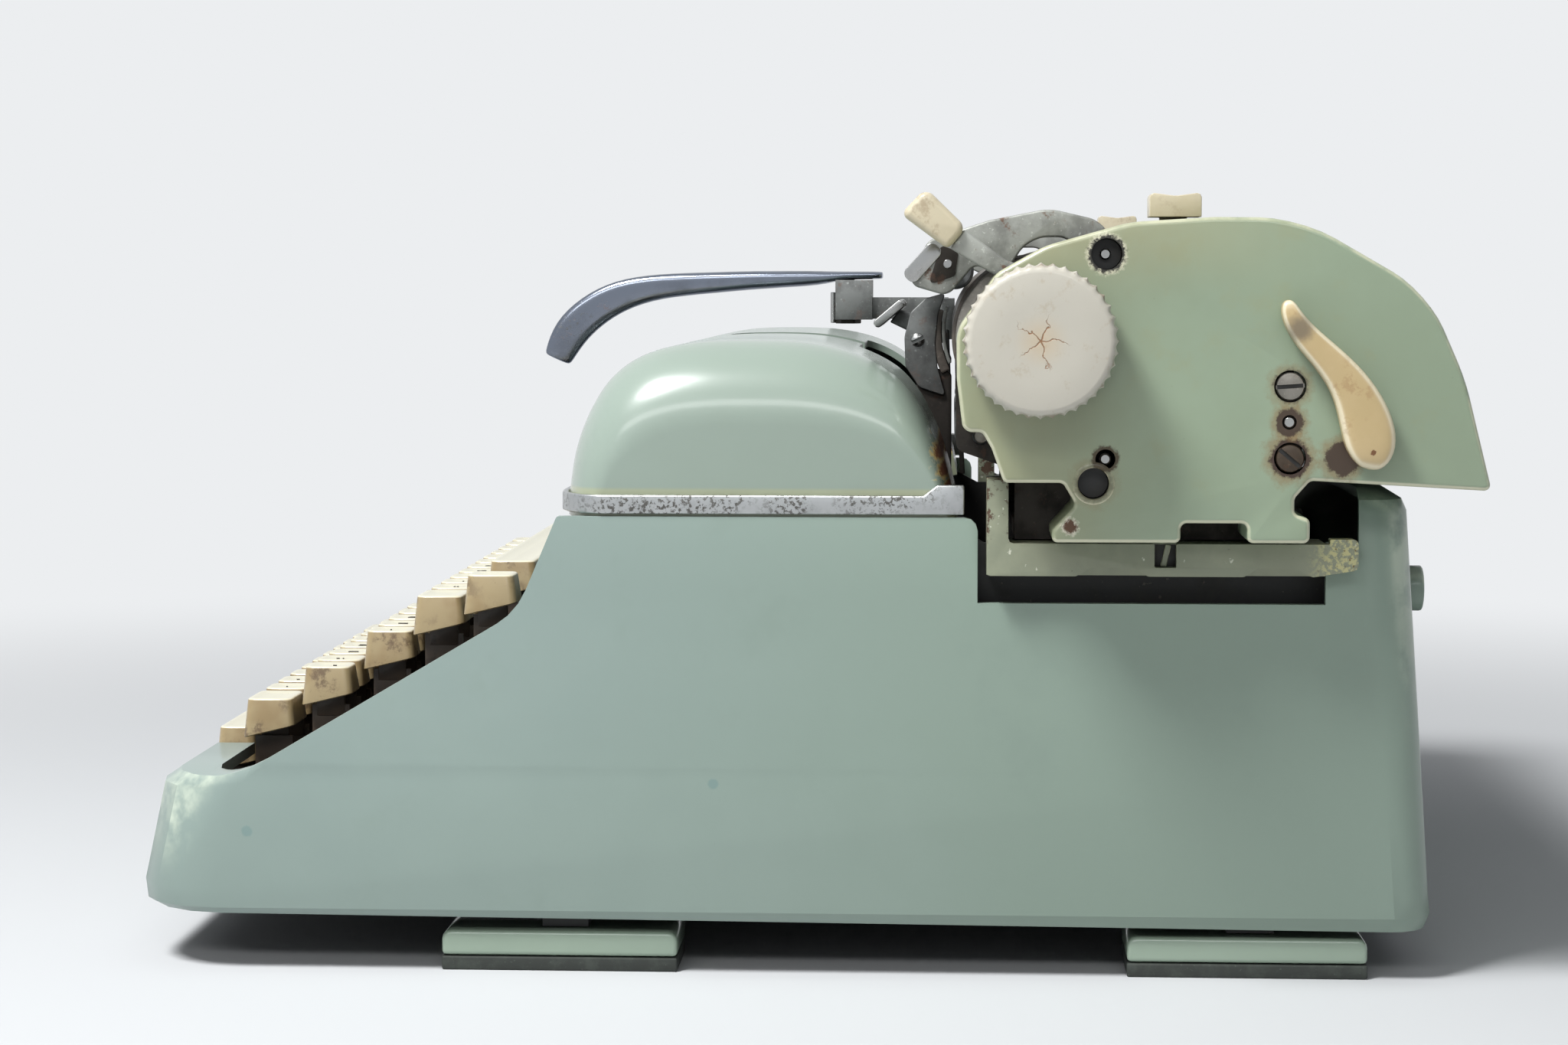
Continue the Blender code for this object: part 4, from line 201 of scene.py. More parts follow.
def flowing(points, steps):
    """A smooth line through the points (a Catmull-Rom curve)."""
    points = [Vector(point) for point in points]
    ends = [2 * points[0] - points[1], *points, 2 * points[-1] - points[-2]]
    line = []
    for a, b, c, d in zip(ends, ends[1:], ends[2:], ends[3:]):
        bend, twist = 2 * a - 5 * b + 4 * c - d, 3 * b - a - 3 * c + d
        for step in range(steps):
            t = step / steps
            line.append(0.5 * (2 * b + (c - a) * t + bend * t ** 2 + twist * t ** 3))
    return [*line, points[-1]]


def drawn_out(flat, distance):
    """Gives a flat outline its thickness along X."""
    grown = bmesh.ops.extrude_face_region(flat, geom=list(flat.faces))["geom"]
    moved = [item for item in grown if isinstance(item, bmesh.types.BMVert)]
    bmesh.ops.translate(flat, verts=moved, vec=(distance, 0, 0))
    bmesh.ops.recalc_face_normals(flat, faces=flat.faces)
    return flat


def slab(corners, start, end, edge=0.0, segments=3):
    """An outline drawn from one X to another, with rounded edges."""
    solid = drawn_out(outline_face(corners, start), end - start)
    return rounded(solid, edge, segments, 60) if edge else solid


def bar_corners(centre, tilt, length, thickness, radius):
    """The four corners of a bar's section, tilted about its centre."""
    along = Vector((cos(tilt), sin(tilt))) * length / 2
    over = Vector((-sin(tilt), cos(tilt))) * thickness / 2
    middle = Vector(centre)
    return [(*(middle + a * along + b * over), radius) for a, b in ((-1, -1), (1, -1), (1, 1), (-1, 1))]


def block(low, high, edge=0.0, segments=3):
    """A cuboid between two corners, with rounded edges."""
    low, high = Vector(low), Vector(high)
    solid = bmesh.new()
    bmesh.ops.create_cube(solid, size=1)
    bmesh.ops.scale(solid, verts=solid.verts, vec=high - low)
    bmesh.ops.translate(solid, verts=solid.verts, vec=(low + high) / 2)
    return rounded(solid, edge, segments) if edge else solid


def turned(profile, centre, axis=ACROSS, sides=48):
    """Turns (along, radius) points about an axis through the centre; a closed wall or a solid."""
    solid = bmesh.new()
    points = [solid.verts.new((radius, 0, along)) for along, radius in profile]
    edges = [solid.edges.new(pair) for pair in zip(points, points[1:])]
    bmesh.ops.spin(
        solid, geom=points + edges, cent=(0, 0, 0), axis=(0, 0, 1), angle=2 * pi, steps=sides,
        use_merge=True,
    )
    bmesh.ops.remove_doubles(solid, verts=solid.verts, dist=TINY / 5)
    turn = Vector((0, 0, 1)).rotation_difference(Vector(axis)).to_matrix()
    bmesh.ops.rotate(solid, verts=solid.verts, cent=(0, 0, 0), matrix=turn)
    bmesh.ops.translate(solid, verts=solid.verts, vec=centre)
    bmesh.ops.recalc_face_normals(solid, faces=solid.faces)
    return solid


def pin(start, end, radius, edge=0.0, sides=32):
    """A round bar between two points, its ends eased by the edge."""
    start, end = Vector(start), Vector(end)
    length = (end - start).length
    profile = [
        (0, 0), (0, radius - edge), (edge, radius),
        (length - edge, radius), (length, radius - edge), (length, 0),
    ]
    return turned(profile, start, end - start, sides)


def cross_pin(place, start, end, radius, edge=0.0, sides=32):
    """A round bar along X at a place (y, z)."""
    return pin((start, *place), (end, *place), radius, edge, sides)


def wheel(profile, place, start=0.0, sides=48):
    """Turns (along, radius) points in millimetres about X at a place (y, z)."""
    return turned([(along * MM, radius * MM) for along, radius in profile], (start, *place), ACROSS, sides)


def sleeve(place, start, end, bore, radius, edge, sides=48):
    """A tube along X at a place (y, z), its outer corners eased by the edge."""
    profile = [
        (start, bore), (start, radius - edge), (start + edge, radius),
        (end - edge, radius), (end, radius - edge), (end, bore),
    ]
    return turned(profile, (0, *place), ACROSS, sides)


def grown_chain(solid, edges, points):
    """Draws a chain of edges out of itself: the new edges, and the new points in the old order."""
    grown = bmesh.ops.extrude_edge_only(solid, edges=edges)["geom"]
    fresh = {tuple(item.co): item for item in grown if isinstance(item, bmesh.types.BMVert)}
    edges = [item for item in grown if isinstance(item, bmesh.types.BMEdge)]
    return edges, [fresh[tuple(point.co)] for point in points]


def ringed(rings):
    """A closed form through rings of places, each ring drawn out of the one before."""
    solid = bmesh.new()
    ring = bmesh.ops.create_circle(solid, cap_ends=True, radius=1, segments=len(rings[0]))["verts"]
    edges = list(solid.edges)
    for index, places in enumerate(rings):
        if index:
            edges, ring = grown_chain(solid, edges, ring)
        for point, place in zip(ring, places):
            point.co = place
    solid.faces.new(ring)
    bmesh.ops.recalc_face_normals(solid, faces=solid.faces)
    return solid


def swept(stations, sides=16, squareness=1.0):
    """A form through stations (centre, across, up); a lower squareness flattens its four sides."""
    rings = []
    for centre, over, up in stations:
        ring = []
        for step in range(sides):
            wide, tall = cos(2 * pi * (step + 0.5) / sides), sin(2 * pi * (step + 0.5) / sides)
            wide = abs(wide) ** squareness * (1 if wide > 0 else -1)
            tall = abs(tall) ** squareness * (1 if tall > 0 else -1)
            ring.append(Vector(centre) + Vector(over) * wide + Vector(up) * tall)
        rings.append(ring)
    return ringed(rings)


def smoothed(piece):
    step = piece.modifiers.new("smoothed", "SUBSURF")
    step.levels = 2
    step.render_levels = 2
    return piece


def heading(places, index):
    """The direction of a line at one of its places, from the place before it to the one after."""
    return (places[min(index + 1, len(places) - 1)] - places[max(index - 1, 0)]).normalized()


# Finishes

def srgb(red, green, blue):
    """A colour written in screen values from 0 to 255, as Blender's linear colour."""
    shares = [value / 255 for value in (red, green, blue)]
    return (*[s / 12.92 if s <= 0.04045 else ((s + 0.055) / 1.055) ** 2.4 for s in shares], 1)


def toned(colour, share):
    return tuple(min(int(value * share), 255) for value in colour)


class Finish:
    """A Principled material that is painted up in layers on Object coordinates."""

    def __init__(self, name, colour, roughness, metallic=0.0, coat=0.0):
        self.material = bpy.data.materials.new(name)
        self.material.use_nodes = True
        self.tree = self.material.node_tree
        self.shader = self.tree.nodes["Principled BSDF"]
        self.shader.inputs["Coat Weight"].default_value = coat
        self.shader.inputs["Coat Roughness"].default_value = 0.12
        places = self.tree.nodes.new("ShaderNodeTexCoord")
        self.coords, self.normal = places.outputs["Object"], places.outputs["Normal"]
        self.state = {"Base Color": srgb(*colour), "Roughness": roughness, "Metallic": metallic}
        self.height = None

    def node(self, kind, **settings):
        made = self.tree.nodes.new(kind)
        for key, value in settings.items():
            setattr(made, key, value)
        return made

    def link(self, source, target):
        if isinstance(source, bpy.types.NodeSocket):
            self.tree.links.new(source, target)
        else:
            target.default_value = source

    def math(self, operation, first, second=0.0):
        made = self.node("ShaderNodeMath", operation=operation)
        self.link(first, made.inputs[0])
        self.link(second, made.inputs[1])
        return made.outputs[0]

    def noise(self, scale, detail=4.0, roughness=0.55, stretch=None):
        source = self.coords
        if stretch:
            mapping = self.node("ShaderNodeMapping")
            mapping.inputs["Scale"].default_value = stretch
            self.link(source, mapping.inputs["Vector"])
            source = mapping.outputs[0]
        made = self.node("ShaderNodeTexNoise")
        made.inputs["Scale"].default_value = scale
        made.inputs["Detail"].default_value = detail
        made.inputs["Roughness"].default_value = roughness
        self.link(source, made.inputs["Vector"])
        return made.outputs["Fac"]

    def between(self, value, low, high):
        """0 below low, 1 above high, smooth between; low may be the larger."""
        made = self.node("ShaderNodeMapRange", interpolation_type="SMOOTHSTEP", clamp=True)
        self.link(value, made.inputs["Value"])
        made.inputs["From Min"].default_value = low
        made.inputs["From Max"].default_value = high
        return made.outputs["Result"]

    def mottle(self, scale, low=0.45, high=0.7, detail=4.0, roughness=0.6, stretch=None):
        return self.between(self.noise(scale, detail, roughness, stretch), low, high)

    def part(self, source, name):
        parts = self.node("ShaderNodeSeparateXYZ")
        self.link(source, parts.inputs[0])
        return parts.outputs[name]

    def axis(self, name):
        return self.part(self.coords, name)

    def along(self, name, low, high):
        """0 below one place on an axis and 1 above another."""
        return self.between(self.axis(name), low, high)

    def facing(self, name):
        """How far the surface faces along an axis, from -1 to 1."""
        return self.part(self.normal, name)

    def distance(self, place, across=0):
        """Distance from a place, measured over the machine's side, and along X too if across is 1."""
        offset = self.node("ShaderNodeVectorMath", operation="SUBTRACT")
        self.link(self.coords, offset.inputs[0])
        offset.inputs[1].default_value = place
        flat = self.node("ShaderNodeVectorMath", operation="MULTIPLY")
        self.link(offset.outputs[0], flat.inputs[0])
        flat.inputs[1].default_value = (across, 1, 1)
        length = self.node("ShaderNodeVectorMath", operation="LENGTH")
        self.link(flat.outputs[0], length.inputs[0])
        return length.outputs["Value"]

    def spot(self, place, radius, ragged=0.5, scale=400.0, soft=0.25, across=0):
        """A ragged patch about a place: 1 inside and 0 outside; all the way across unless across is 1."""
        wobble = self.math("MULTIPLY_ADD", self.noise(scale, 5.0, 0.7), 2 * ragged * radius)
        wobble.node.inputs[2].default_value = -ragged * radius
        return self.between(
            self.math("ADD", self.distance(place, across), wobble), radius * (1 + soft), radius * (1 - soft),
        )

    def both(self, *factors):
        whole = factors[0]
        for factor in factors[1:]:
            whole = self.math("MULTIPLY", whole, factor)
        return whole

    def face_edge(self):
        """The rounded edge between a flat side of the machine and the rim round it."""
        across = self.math("ABSOLUTE", self.facing("X"))
        return self.both(self.between(across, 0.05, 0.35), self.between(across, 0.985, 0.85))

    def blended(self, name, value, factor):
        """Mixes a shader value towards another by the factor."""
        colour = name == "Base Color"
        mix = self.node("ShaderNodeMix", data_type="RGBA" if colour else "FLOAT")
        first, second, result = (6, 7, 2) if colour else (2, 3, 0)
        self.link(factor, mix.inputs[0])
        self.link(self.state[name], mix.inputs[first])
        self.link(value, mix.inputs[second])
        self.state[name] = mix.outputs[result]

    def layer(self, factor, colour, roughness=None, metallic=None, sunk=0.0, strength=1.0):
        """Lays a colour over the finish where the factor is 1."""
        if strength != 1.0:
            factor = self.math("MULTIPLY", factor, strength)
        self.blended("Base Color", srgb(*colour), factor)
        if roughness is not None:
            self.blended("Roughness", roughness, factor)
        if metallic is not None:
            self.blended("Metallic", metallic, factor)
        if sunk:
            self.raised(factor, -sunk)

    def speckled(self, scale, low, high, colour, roughness=None, sunk=0.0, strength=1.0):
        """Small scattered marks where fine noise passes a level."""
        marks = self.between(self.noise(scale, 6.0, 0.65), low, high)
        self.layer(marks, colour, roughness, None, sunk, strength)

    def raised(self, value, amount):
        """Adds relief: the value from 0 to 1 times the amount in metres."""
        lift = self.math("MULTIPLY", value, amount)
        self.height = lift if self.height is None else self.math("ADD", self.height, lift)

    def done(self):
        for name, value in self.state.items():
            self.link(value, self.shader.inputs[name])
        if self.height is not None:
            bump = self.node("ShaderNodeBump")
            bump.inputs["Distance"].default_value = 1.0
            self.link(self.height, bump.inputs["Height"])
            self.link(bump.outputs[0], self.shader.inputs["Normal"])
        return self.material


def body_enamel():
    """Sage enamel: cooler at the front, greener at the rear, with specks, dimples and a few chips."""
    paint = Finish("body_enamel", (130, 146, 142), 0.36, coat=0.25)
    paint.layer(paint.along("Y", -0.15, 0.12), (130, 147, 134))
    paint.layer(paint.along("Z", 0.11, 0.02), (124, 141, 130), strength=0.35)
    paint.layer(paint.mottle(9, 0.45, 0.75, 3.0), (140, 156, 148), strength=0.35)
    paint.layer(paint.mottle(34, 0.55, 0.75), (122, 138, 128), strength=0.3)
    across = paint.math("ABSOLUTE", paint.facing("X"))
    # Pale paint on the rounded edges of the sides that face up: wear where the noise lets it through, and
    # partly a painted highlight, since only the upward-facing edges get it.
    worn = paint.both(
        paint.between(across, 0.1, 0.4), paint.between(across, 0.96, 0.8), paint.mottle(60, 0.35, 0.6),
        paint.between(paint.facing("Z"), 0.05, 0.3),
    )
    paint.layer(worn, (196, 206, 188), 0.4, strength=0.75)
    paint.speckled(620, 0.735, 0.76, (108, 116, 100), 0.6, 0.05 * MM, 0.8)
    paint.speckled(260, 0.765, 0.78, (86, 62, 48), 0.7, 0.05 * MM)
    front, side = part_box("body_shell")[0].y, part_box("body_shell")[1].x
    for along, up, radius in ((7.0, 57.0, 1.7), (10.5, 57.6, 1.2), (5.2, 38.5, 0.9)):
        place = (side, front + along * MM, up * MM)
        paint.layer(paint.spot(place, radius * MM, 0.7, 900, across=1), (214, 196, 120), 0.6, sunk=0.1 * MM)
    for along, up, radius in ((37, 42.5, 1.6), (178, 58.0, 1.5)):
        place = (side, front + along * MM, up * MM)
        paint.layer(paint.spot(place, radius * MM, 0.3, across=1), (112, 136, 132), strength=0.8)
    paint.raised(paint.noise(480, 2.0), 0.012 * MM)
    return paint.done()


def hood_enamel():
    paint = Finish("hood_enamel", (138, 152, 141), 0.27, coat=0.45)
    paint.layer(paint.mottle(11, 0.45, 0.75, 3.0), (146, 162, 152), strength=0.4)
    paint.speckled(520, 0.74, 0.765, (112, 118, 102), 0.6, 0.05 * MM, 0.9)
    low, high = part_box("ribbon_cover")
    rear_edge = paint.along("Y", high.y - 12 * MM, high.y - 5 * MM)
    for back, up, radius in ((5.6, 31.5, 1.6), (4.6, 20.0, 2.6), (3.6, 14.6, 2.2), (2.6, 9.5, 1.5)):
        place = (0, high.y - back * MM, low.z + up * MM)
        paint.layer(paint.spot(place, radius * 1.25 * MM, 0.9, 700), (205, 180, 120), 0.6)
        paint.layer(paint.spot(place, radius * MM, 0.9, 900), (122, 72, 44), 0.85, sunk=0.1 * MM)
    paint.layer(paint.both(rear_edge, paint.mottle(300, 0.62, 0.68, 6.0)), (196, 172, 116), 0.6)
    hem = paint.along("Z", low.z + 9.5 * MM, low.z + 8.2 * MM)
    paint.layer(hem, (166, 166, 126), strength=0.5)
    paint.raised(paint.noise(420, 2.0), 0.010 * MM)
    return paint.done()


def cover_enamel():
    """Enamel of the end covers: yellowed by hands at the front and the top, rusted round its screws."""
    paint = Finish("cover_enamel", (136, 151, 127), 0.33, coat=0.35)
    low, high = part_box("end_cover_right")
    front = paint.along("Y", low.y + 75 * MM, low.y - 2 * MM)
    paint.layer(front, (150, 147, 112), strength=0.7)
    crown = paint.along("Z", high.z - 26 * MM, high.z - 2 * MM)
    forward = paint.along("Y", low.y + 115 * MM, low.y + 40 * MM)
    paint.layer(paint.both(crown, forward), (158, 150, 112), strength=0.6)
    paint.layer(paint.mottle(18, 0.45, 0.75), (152, 170, 148), strength=0.3)
    paint.layer(paint.mottle(55, 0.55, 0.72, 5.0), (146, 144, 104), strength=0.22)
    edge = paint.face_edge()
    paint.layer(paint.both(edge, paint.mottle(90, 0.3, 0.62)), (196, 196, 168), 0.4, strength=0.7)
    under = paint.both(edge, paint.between(paint.facing("Z"), -0.05, -0.35))
    paint.layer(under, (206, 204, 178), 0.4, strength=0.85)
    paint.speckled(560, 0.73, 0.76, (90, 78, 54), 0.7, 0.05 * MM, 0.9)
    for shares, radius, dark in (
        (SCREW_SHARES[0], 4.9, 0.7), (SCREW_SHARES[1], 5.7, 1.0), (GUIDE_PIN_SHARES, 4.0, 0.95),
        (RELEASE_STAIN_SHARES, 5.0, 0.95), (LOW_HOLE_SHARES, 5.4, 0.4),
    ):
        place = cover_place(shares)
        stain = paint.spot(place, radius * 1.3 * MM, 0.5, 300, 0.25)
        paint.layer(stain, (126, 98, 54), 0.6, strength=dark * 0.6)
        paint.layer(paint.spot(place, radius * MM, 0.45, 520, 0.12), (52, 34, 22), 0.8, strength=dark)
    paint.layer(paint.spot(cover_place(TOP_HOLE_SHARES), 5.9 * MM, 0.35, 600, 0.12), (206, 204, 178), 0.4)
    # painted shade: a black ring round the top hole, wider than the hole, stands for the dark inside it
    paint.layer(paint.spot(cover_place(TOP_HOLE_SHARES), 5.3 * MM, 0.5, 800, 0.12), (40, 38, 32), 0.8)
    paint.layer(paint.spot(cover_place(SMALL_HOLE_SHARES), 3.9 * MM, 0.4, 700, 0.15), (72, 62, 42), 0.8)
    for along, up, radius in ((0.215, 0.05, 2.4), (0.672, 0.12, 2.0), (0.995, 0.24, 1.2)):
        place = cover_place((along, up))
        paint.layer(paint.spot(place, radius * MM, 0.9, 700), (206, 202, 182), 0.45)
        paint.layer(paint.spot(place, radius * 0.8 * MM, 0.9, 900), (84, 58, 38), 0.85)
    paint.raised(paint.noise(420, 2.0), 0.012 * MM)
    return paint.done()


def tray_enamel():
    """Worn beige-green enamel with rubbed edges, oil and chips."""
    paint = Finish("tray_enamel", (140, 144, 122), 0.42, coat=0.15)
    low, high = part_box("side_tray_right")
    paint.layer(paint.mottle(38, 0.42, 0.66, 5.0), (118, 124, 106), strength=0.6)
    rear = paint.along("Y", high.y - 16 * MM, high.y - 7 * MM)
    paint.layer(paint.both(rear, paint.mottle(520, 0.46, 0.56, 6.0, 0.7)), (202, 196, 140), 0.6, strength=0.8)
    paint.layer(paint.both(rear, paint.mottle(600, 0.60, 0.66, 6.0, 0.7)), (112, 92, 58), 0.8)
    front = paint.along("Y", low.y + 16 * MM, low.y + 6 * MM)
    above = paint.along("Z", low.z + 8 * MM, low.z + 12 * MM)
    paint.layer(
        paint.both(front, above, paint.mottle(170, 0.5, 0.56, 6.0, 0.7)), (78, 58, 42), 0.8, sunk=0.1 * MM,
    )
    rubbed = paint.both(paint.face_edge(), paint.mottle(120, 0.4, 0.6))
    paint.layer(rubbed, (198, 196, 168), 0.45, strength=0.8)
    paint.speckled(330, 0.66, 0.69, (206, 206, 190), 0.5, strength=0.8)
    paint.speckled(420, 0.70, 0.73, (64, 52, 38), 0.8, 0.05 * MM)
    return paint.done()


def foot_enamel():
    paint = Finish("foot_enamel", (150, 168, 150), 0.22, coat=0.6)
    paint.layer(paint.mottle(20, 0.45, 0.75, 3.0), (142, 160, 142), strength=0.5)
    paint.speckled(520, 0.72, 0.74, (70, 62, 50), 0.7, 0.05 * MM)
    return paint.done()


def rubber(name, colour, roughness=0.7, stretch=None):
    finish = Finish(name, colour, roughness)
    finish.layer(finish.mottle(160, 0.45, 0.7, 5.0, stretch=stretch), toned(colour, 1.5), strength=0.6)
    finish.speckled(900, 0.62, 0.68, toned(colour, 2.0), strength=0.5)
    finish.raised(finish.noise(1200, 3.0), 0.03 * MM)
    return finish.done()


def bright_metal(name, colour, roughness, pits, rust=0.0, worn=0.0):
    """Chrome or nickel with fine haze, dark pits and, where it has any, brown rust."""
    metal = Finish(name, colour, roughness, metallic=1.0)
    metal.layer(metal.mottle(70, 0.4, 0.7, 5.0), toned(colour, 0.86), roughness + 0.14, strength=0.7)
    pitted = metal.both(
        metal.mottle(700, 0.56 - worn, 0.62 - worn, 6.0, 0.7), metal.mottle(45, 0.5 - worn, 0.66 - worn, 3.0),
    )
    metal.layer(pitted, (92, 90, 86), 0.6, strength=pits)
    if rust:
        rusted = metal.both(metal.mottle(120, 0.58, 0.66, 6.0, 0.7), metal.mottle(26, 0.48, 0.6, 2.0))
        metal.layer(rusted, (104, 66, 42), 0.85, 0.0, 0.03 * MM, rust)
    metal.raised(metal.noise(500, 3.0), 0.006 * MM)
    return metal.done()


def dull_metal(name, colour, roughness, rust, metallic=0.8):
    """Plated or bare steel that has gone grey, with grime and rust."""
    metal = Finish(name, colour, roughness, metallic)
    metal.layer(metal.mottle(90, 0.4, 0.66, 6.0), toned(colour, 0.72), roughness + 0.15, strength=0.8)
    metal.speckled(700, 0.60, 0.68, toned(colour, 1.35), strength=0.5)
    metal.layer(metal.mottle(150, 0.57, 0.66, 6.0, 0.72), (98, 62, 40), 0.9, 0.0, strength=rust)
    metal.raised(metal.noise(650, 4.0), 0.02 * MM)
    return metal.done()


def aged_plastic(name, colour, shade, dirt, strength, roughness=0.32):
    """Yellowed plastic with soft mottling, fine dirt and small pits."""
    plastic = Finish(name, colour, roughness, coat=0.2)
    plastic.layer(plastic.mottle(60, 0.42, 0.66), shade, strength=0.6)
    grime = plastic.both(plastic.mottle(190, 0.52, 0.66, 6.0, 0.7), plastic.mottle(40, 0.42, 0.62, 2.0))
    plastic.layer(grime, dirt, roughness + 0.2, strength=strength)
    plastic.speckled(800, 0.70, 0.74, dirt, 0.7, strength=0.8)
    plastic.raised(plastic.noise(700, 2.0), 0.01 * MM)
    return plastic.done()


def comma_plastic():
    """The release levers: a tan face, a pale painted highlight on the rounded rim, a painted shadow in the
    hollow of the neck and one crack at the foot.
    """
    plastic = Finish("comma_plastic", (184, 162, 118), 0.34, coat=0.25)
    plastic.layer(plastic.mottle(60, 0.42, 0.68), (192, 170, 128), strength=0.6)
    # painted highlight: the rounded rim round the face is painted pale cream
    plastic.layer(plastic.face_edge(), (222, 212, 184), strength=0.85)
    low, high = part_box("carriage_release_lever_right")
    # painted shadow in the hollow where the horn of the lever meets its wide body
    neck_shadow = (0, low.y + 4.5 * MM, high.z - 9 * MM)
    plastic.layer(plastic.spot(neck_shadow, 3.4 * MM, 0.4, 300, 0.6), (92, 84, 74), 0.5, strength=0.75)
    crack = (0, low.y + 25.5 * MM, low.z + 6.5 * MM)
    plastic.layer(plastic.spot(crack, 0.7 * MM, 1.4, 900), (112, 74, 42), 0.7)
    grime = plastic.both(plastic.mottle(190, 0.54, 0.66, 6.0, 0.7), plastic.mottle(40, 0.42, 0.62, 2.0))
    plastic.layer(grime, (150, 112, 70), 0.5, strength=0.4)
    plastic.raised(plastic.noise(700, 2.0), 0.01 * MM)
    return plastic.done()


def key_plastic():
    """Key caps: pale and rubbed on top, tan and grimy down the sides, which are also painted darker as shade,
    with a painted highlight along the rounded edges of the top.
    """
    plastic = Finish("key_plastic", (200, 196, 174), 0.3, coat=0.2)
    upward = plastic.facing("Z")
    # the sides are tan and painted darker than the tops; part of that darkness is painted shade
    sides = plastic.between(upward, 0.85, 0.35)
    plastic.layer(sides, (156, 138, 102), strength=0.95)
    plastic.layer(plastic.both(sides, plastic.mottle(55, 0.4, 0.62, 3.0)), (138, 116, 80), strength=0.7)
    # painted highlight along the rounded edges round the top of each cap
    rim = plastic.both(plastic.between(upward, 0.35, 0.6), plastic.between(upward, 0.97, 0.85))
    plastic.layer(rim, (224, 216, 190), strength=0.7)
    grime = plastic.both(plastic.mottle(210, 0.48, 0.64, 6.0, 0.7), plastic.mottle(48, 0.44, 0.58, 2.0))
    plastic.layer(plastic.both(grime, sides), (86, 66, 46), 0.6, strength=0.8)
    plastic.speckled(900, 0.68, 0.72, (90, 70, 50), 0.7, strength=0.8)
    plastic.raised(plastic.noise(800, 2.0), 0.008 * MM)
    return plastic.done()


def knob_plastic():
    """Marbled white plastic, with a star of brown cracks round the shaft on the outer face."""
    plastic = Finish("knob_plastic", (186, 182, 170), 0.38, coat=0.15)
    plastic.layer(plastic.mottle(75, 0.38, 0.68, 5.0), (184, 180, 168), strength=0.7)
    plastic.layer(plastic.mottle(210, 0.56, 0.7, 5.0, 0.7), (166, 152, 128), strength=0.5)
    centre = middle_of("platen_roller")
    reach = plastic.distance((0, centre.y, centre.z))
    plastic.layer(plastic.between(reach, 9 * MM, 1 * MM), (192, 168, 132), strength=0.45)
    rim = plastic.both(plastic.between(reach, 20.2 * MM, 21.4 * MM), plastic.mottle(260, 0.5, 0.62, 5.0))
    plastic.layer(rim, (120, 104, 82), 0.6, strength=0.7)
    across = plastic.math("SUBTRACT", plastic.axis("Y"), centre.y)
    up = plastic.math("SUBTRACT", plastic.axis("Z"), centre.z)
    wander = plastic.math("MULTIPLY", plastic.math("SUBTRACT", plastic.noise(260, 3.0), 0.5), 1.6)
    angle = plastic.math("ADD", plastic.math("ARCTAN2", up, across), wander)
    ray = plastic.math("ABSOLUTE", plastic.math("SINE", plastic.math("MULTIPLY", angle, 2.5)))
    line = plastic.between(plastic.math("MULTIPLY", ray, reach), 0.75 * MM, 0.15 * MM)
    ragged = plastic.math("MULTIPLY", plastic.noise(170, 2.0), 6 * MM)
    near = plastic.between(plastic.math("ADD", reach, ragged), 12.0 * MM, 8.5 * MM)
    outer_face = plastic.between(plastic.math("ABSOLUTE", plastic.facing("X")), 0.7, 0.9)
    plastic.layer(plastic.both(line, near, outer_face), (128, 86, 48), 0.6, sunk=0.1 * MM, strength=0.9)
    plastic.raised(plastic.noise(500, 4.0), 0.02 * MM)
    return plastic.done()


def black_lacquer():
    lacquer = Finish("black_lacquer", (34, 34, 33), 0.5)
    lacquer.layer(lacquer.mottle(60, 0.45, 0.7, 6.0), (58, 56, 52), 0.65, strength=0.7)
    lacquer.speckled(500, 0.64, 0.70, (98, 92, 82), strength=0.6)
    return lacquer.done()


# The end cover's outline and places, as shares of its length and height from its lower front corner

COVER_LENGTH = 153 * MM
COVER_WALL = 2.4 * MM
COVER_EDGE = 1.6 * MM
COVER_SOFTEST = 1.8 * MM
COVER_SHARES = (
    (0.090, 0.184, 0.005), (0.067, 0.289, 0.043), (0.049, 0.340, 0.021), (0.013, 0.340, 0.032),
    (0.001, 0.503, 0.107), (0.000, 0.653, 0.107), (0.075, 0.830, 0.086), (0.167, 0.913, 0.214),
    (0.324, 0.985, 0.321), (0.480, 1.000, 0.321), (0.637, 0.998, 0.482), (0.876, 0.771, 0.375),
    (0.948, 0.503, 0.642), (1.000, 0.163, 0.013), (0.663, 0.193, 0.021), (0.634, 0.139, 0.021),
    (0.634, 0.091, 0.016), (0.663, 0.075, 0.016), (0.663, 0.000, 0.021), (0.546, 0.000, 0.005),
    (0.546, 0.061, 0.011), (0.422, 0.061, 0.011), (0.422, 0.000, 0.005), (0.181, 0.000, 0.016),
    (0.181, 0.037, 0.016), (0.225, 0.118, 0.021), (0.201, 0.184, 0.021),
)
SCREW_SHARES = ((0.623, 0.483), (0.624, 0.262))
SCREW_TURNS = (radians(4), radians(-40))
GUIDE_PIN_SHARES = (0.622, 0.373)
TOP_HOLE_SHARES = (0.280, 0.887)
LOW_HOLE_SHARES = (0.258, 0.183)
SMALL_HOLE_SHARES = (0.280, 0.258)
RELEASE_STAIN_SHARES = (0.722, 0.262)
COVER_HOLES = (
    (GUIDE_PIN_SHARES, 2.1 * MM), (TOP_HOLE_SHARES, 4.5 * MM), (LOW_HOLE_SHARES, 4.5 * MM),
    (SMALL_HOLE_SHARES, 2.9 * MM),
)
SHAFT_HOLE = 10.5 * MM
RELEASE_HOLE = 3.0 * MM
SCREW_HOLE = 4.6 * MM
SCREW_RADIUS = 4.1 * MM
SLOT_PLAY = 0.5 * MM
STRIP_HALF = 3.75 * MM
STRIP_END = 2.5 * MM


def cover_place(shares):
    low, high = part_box("end_cover_right")
    return (0, low.y + COVER_LENGTH * shares[0], low.z + (high.z - low.z) * shares[1])


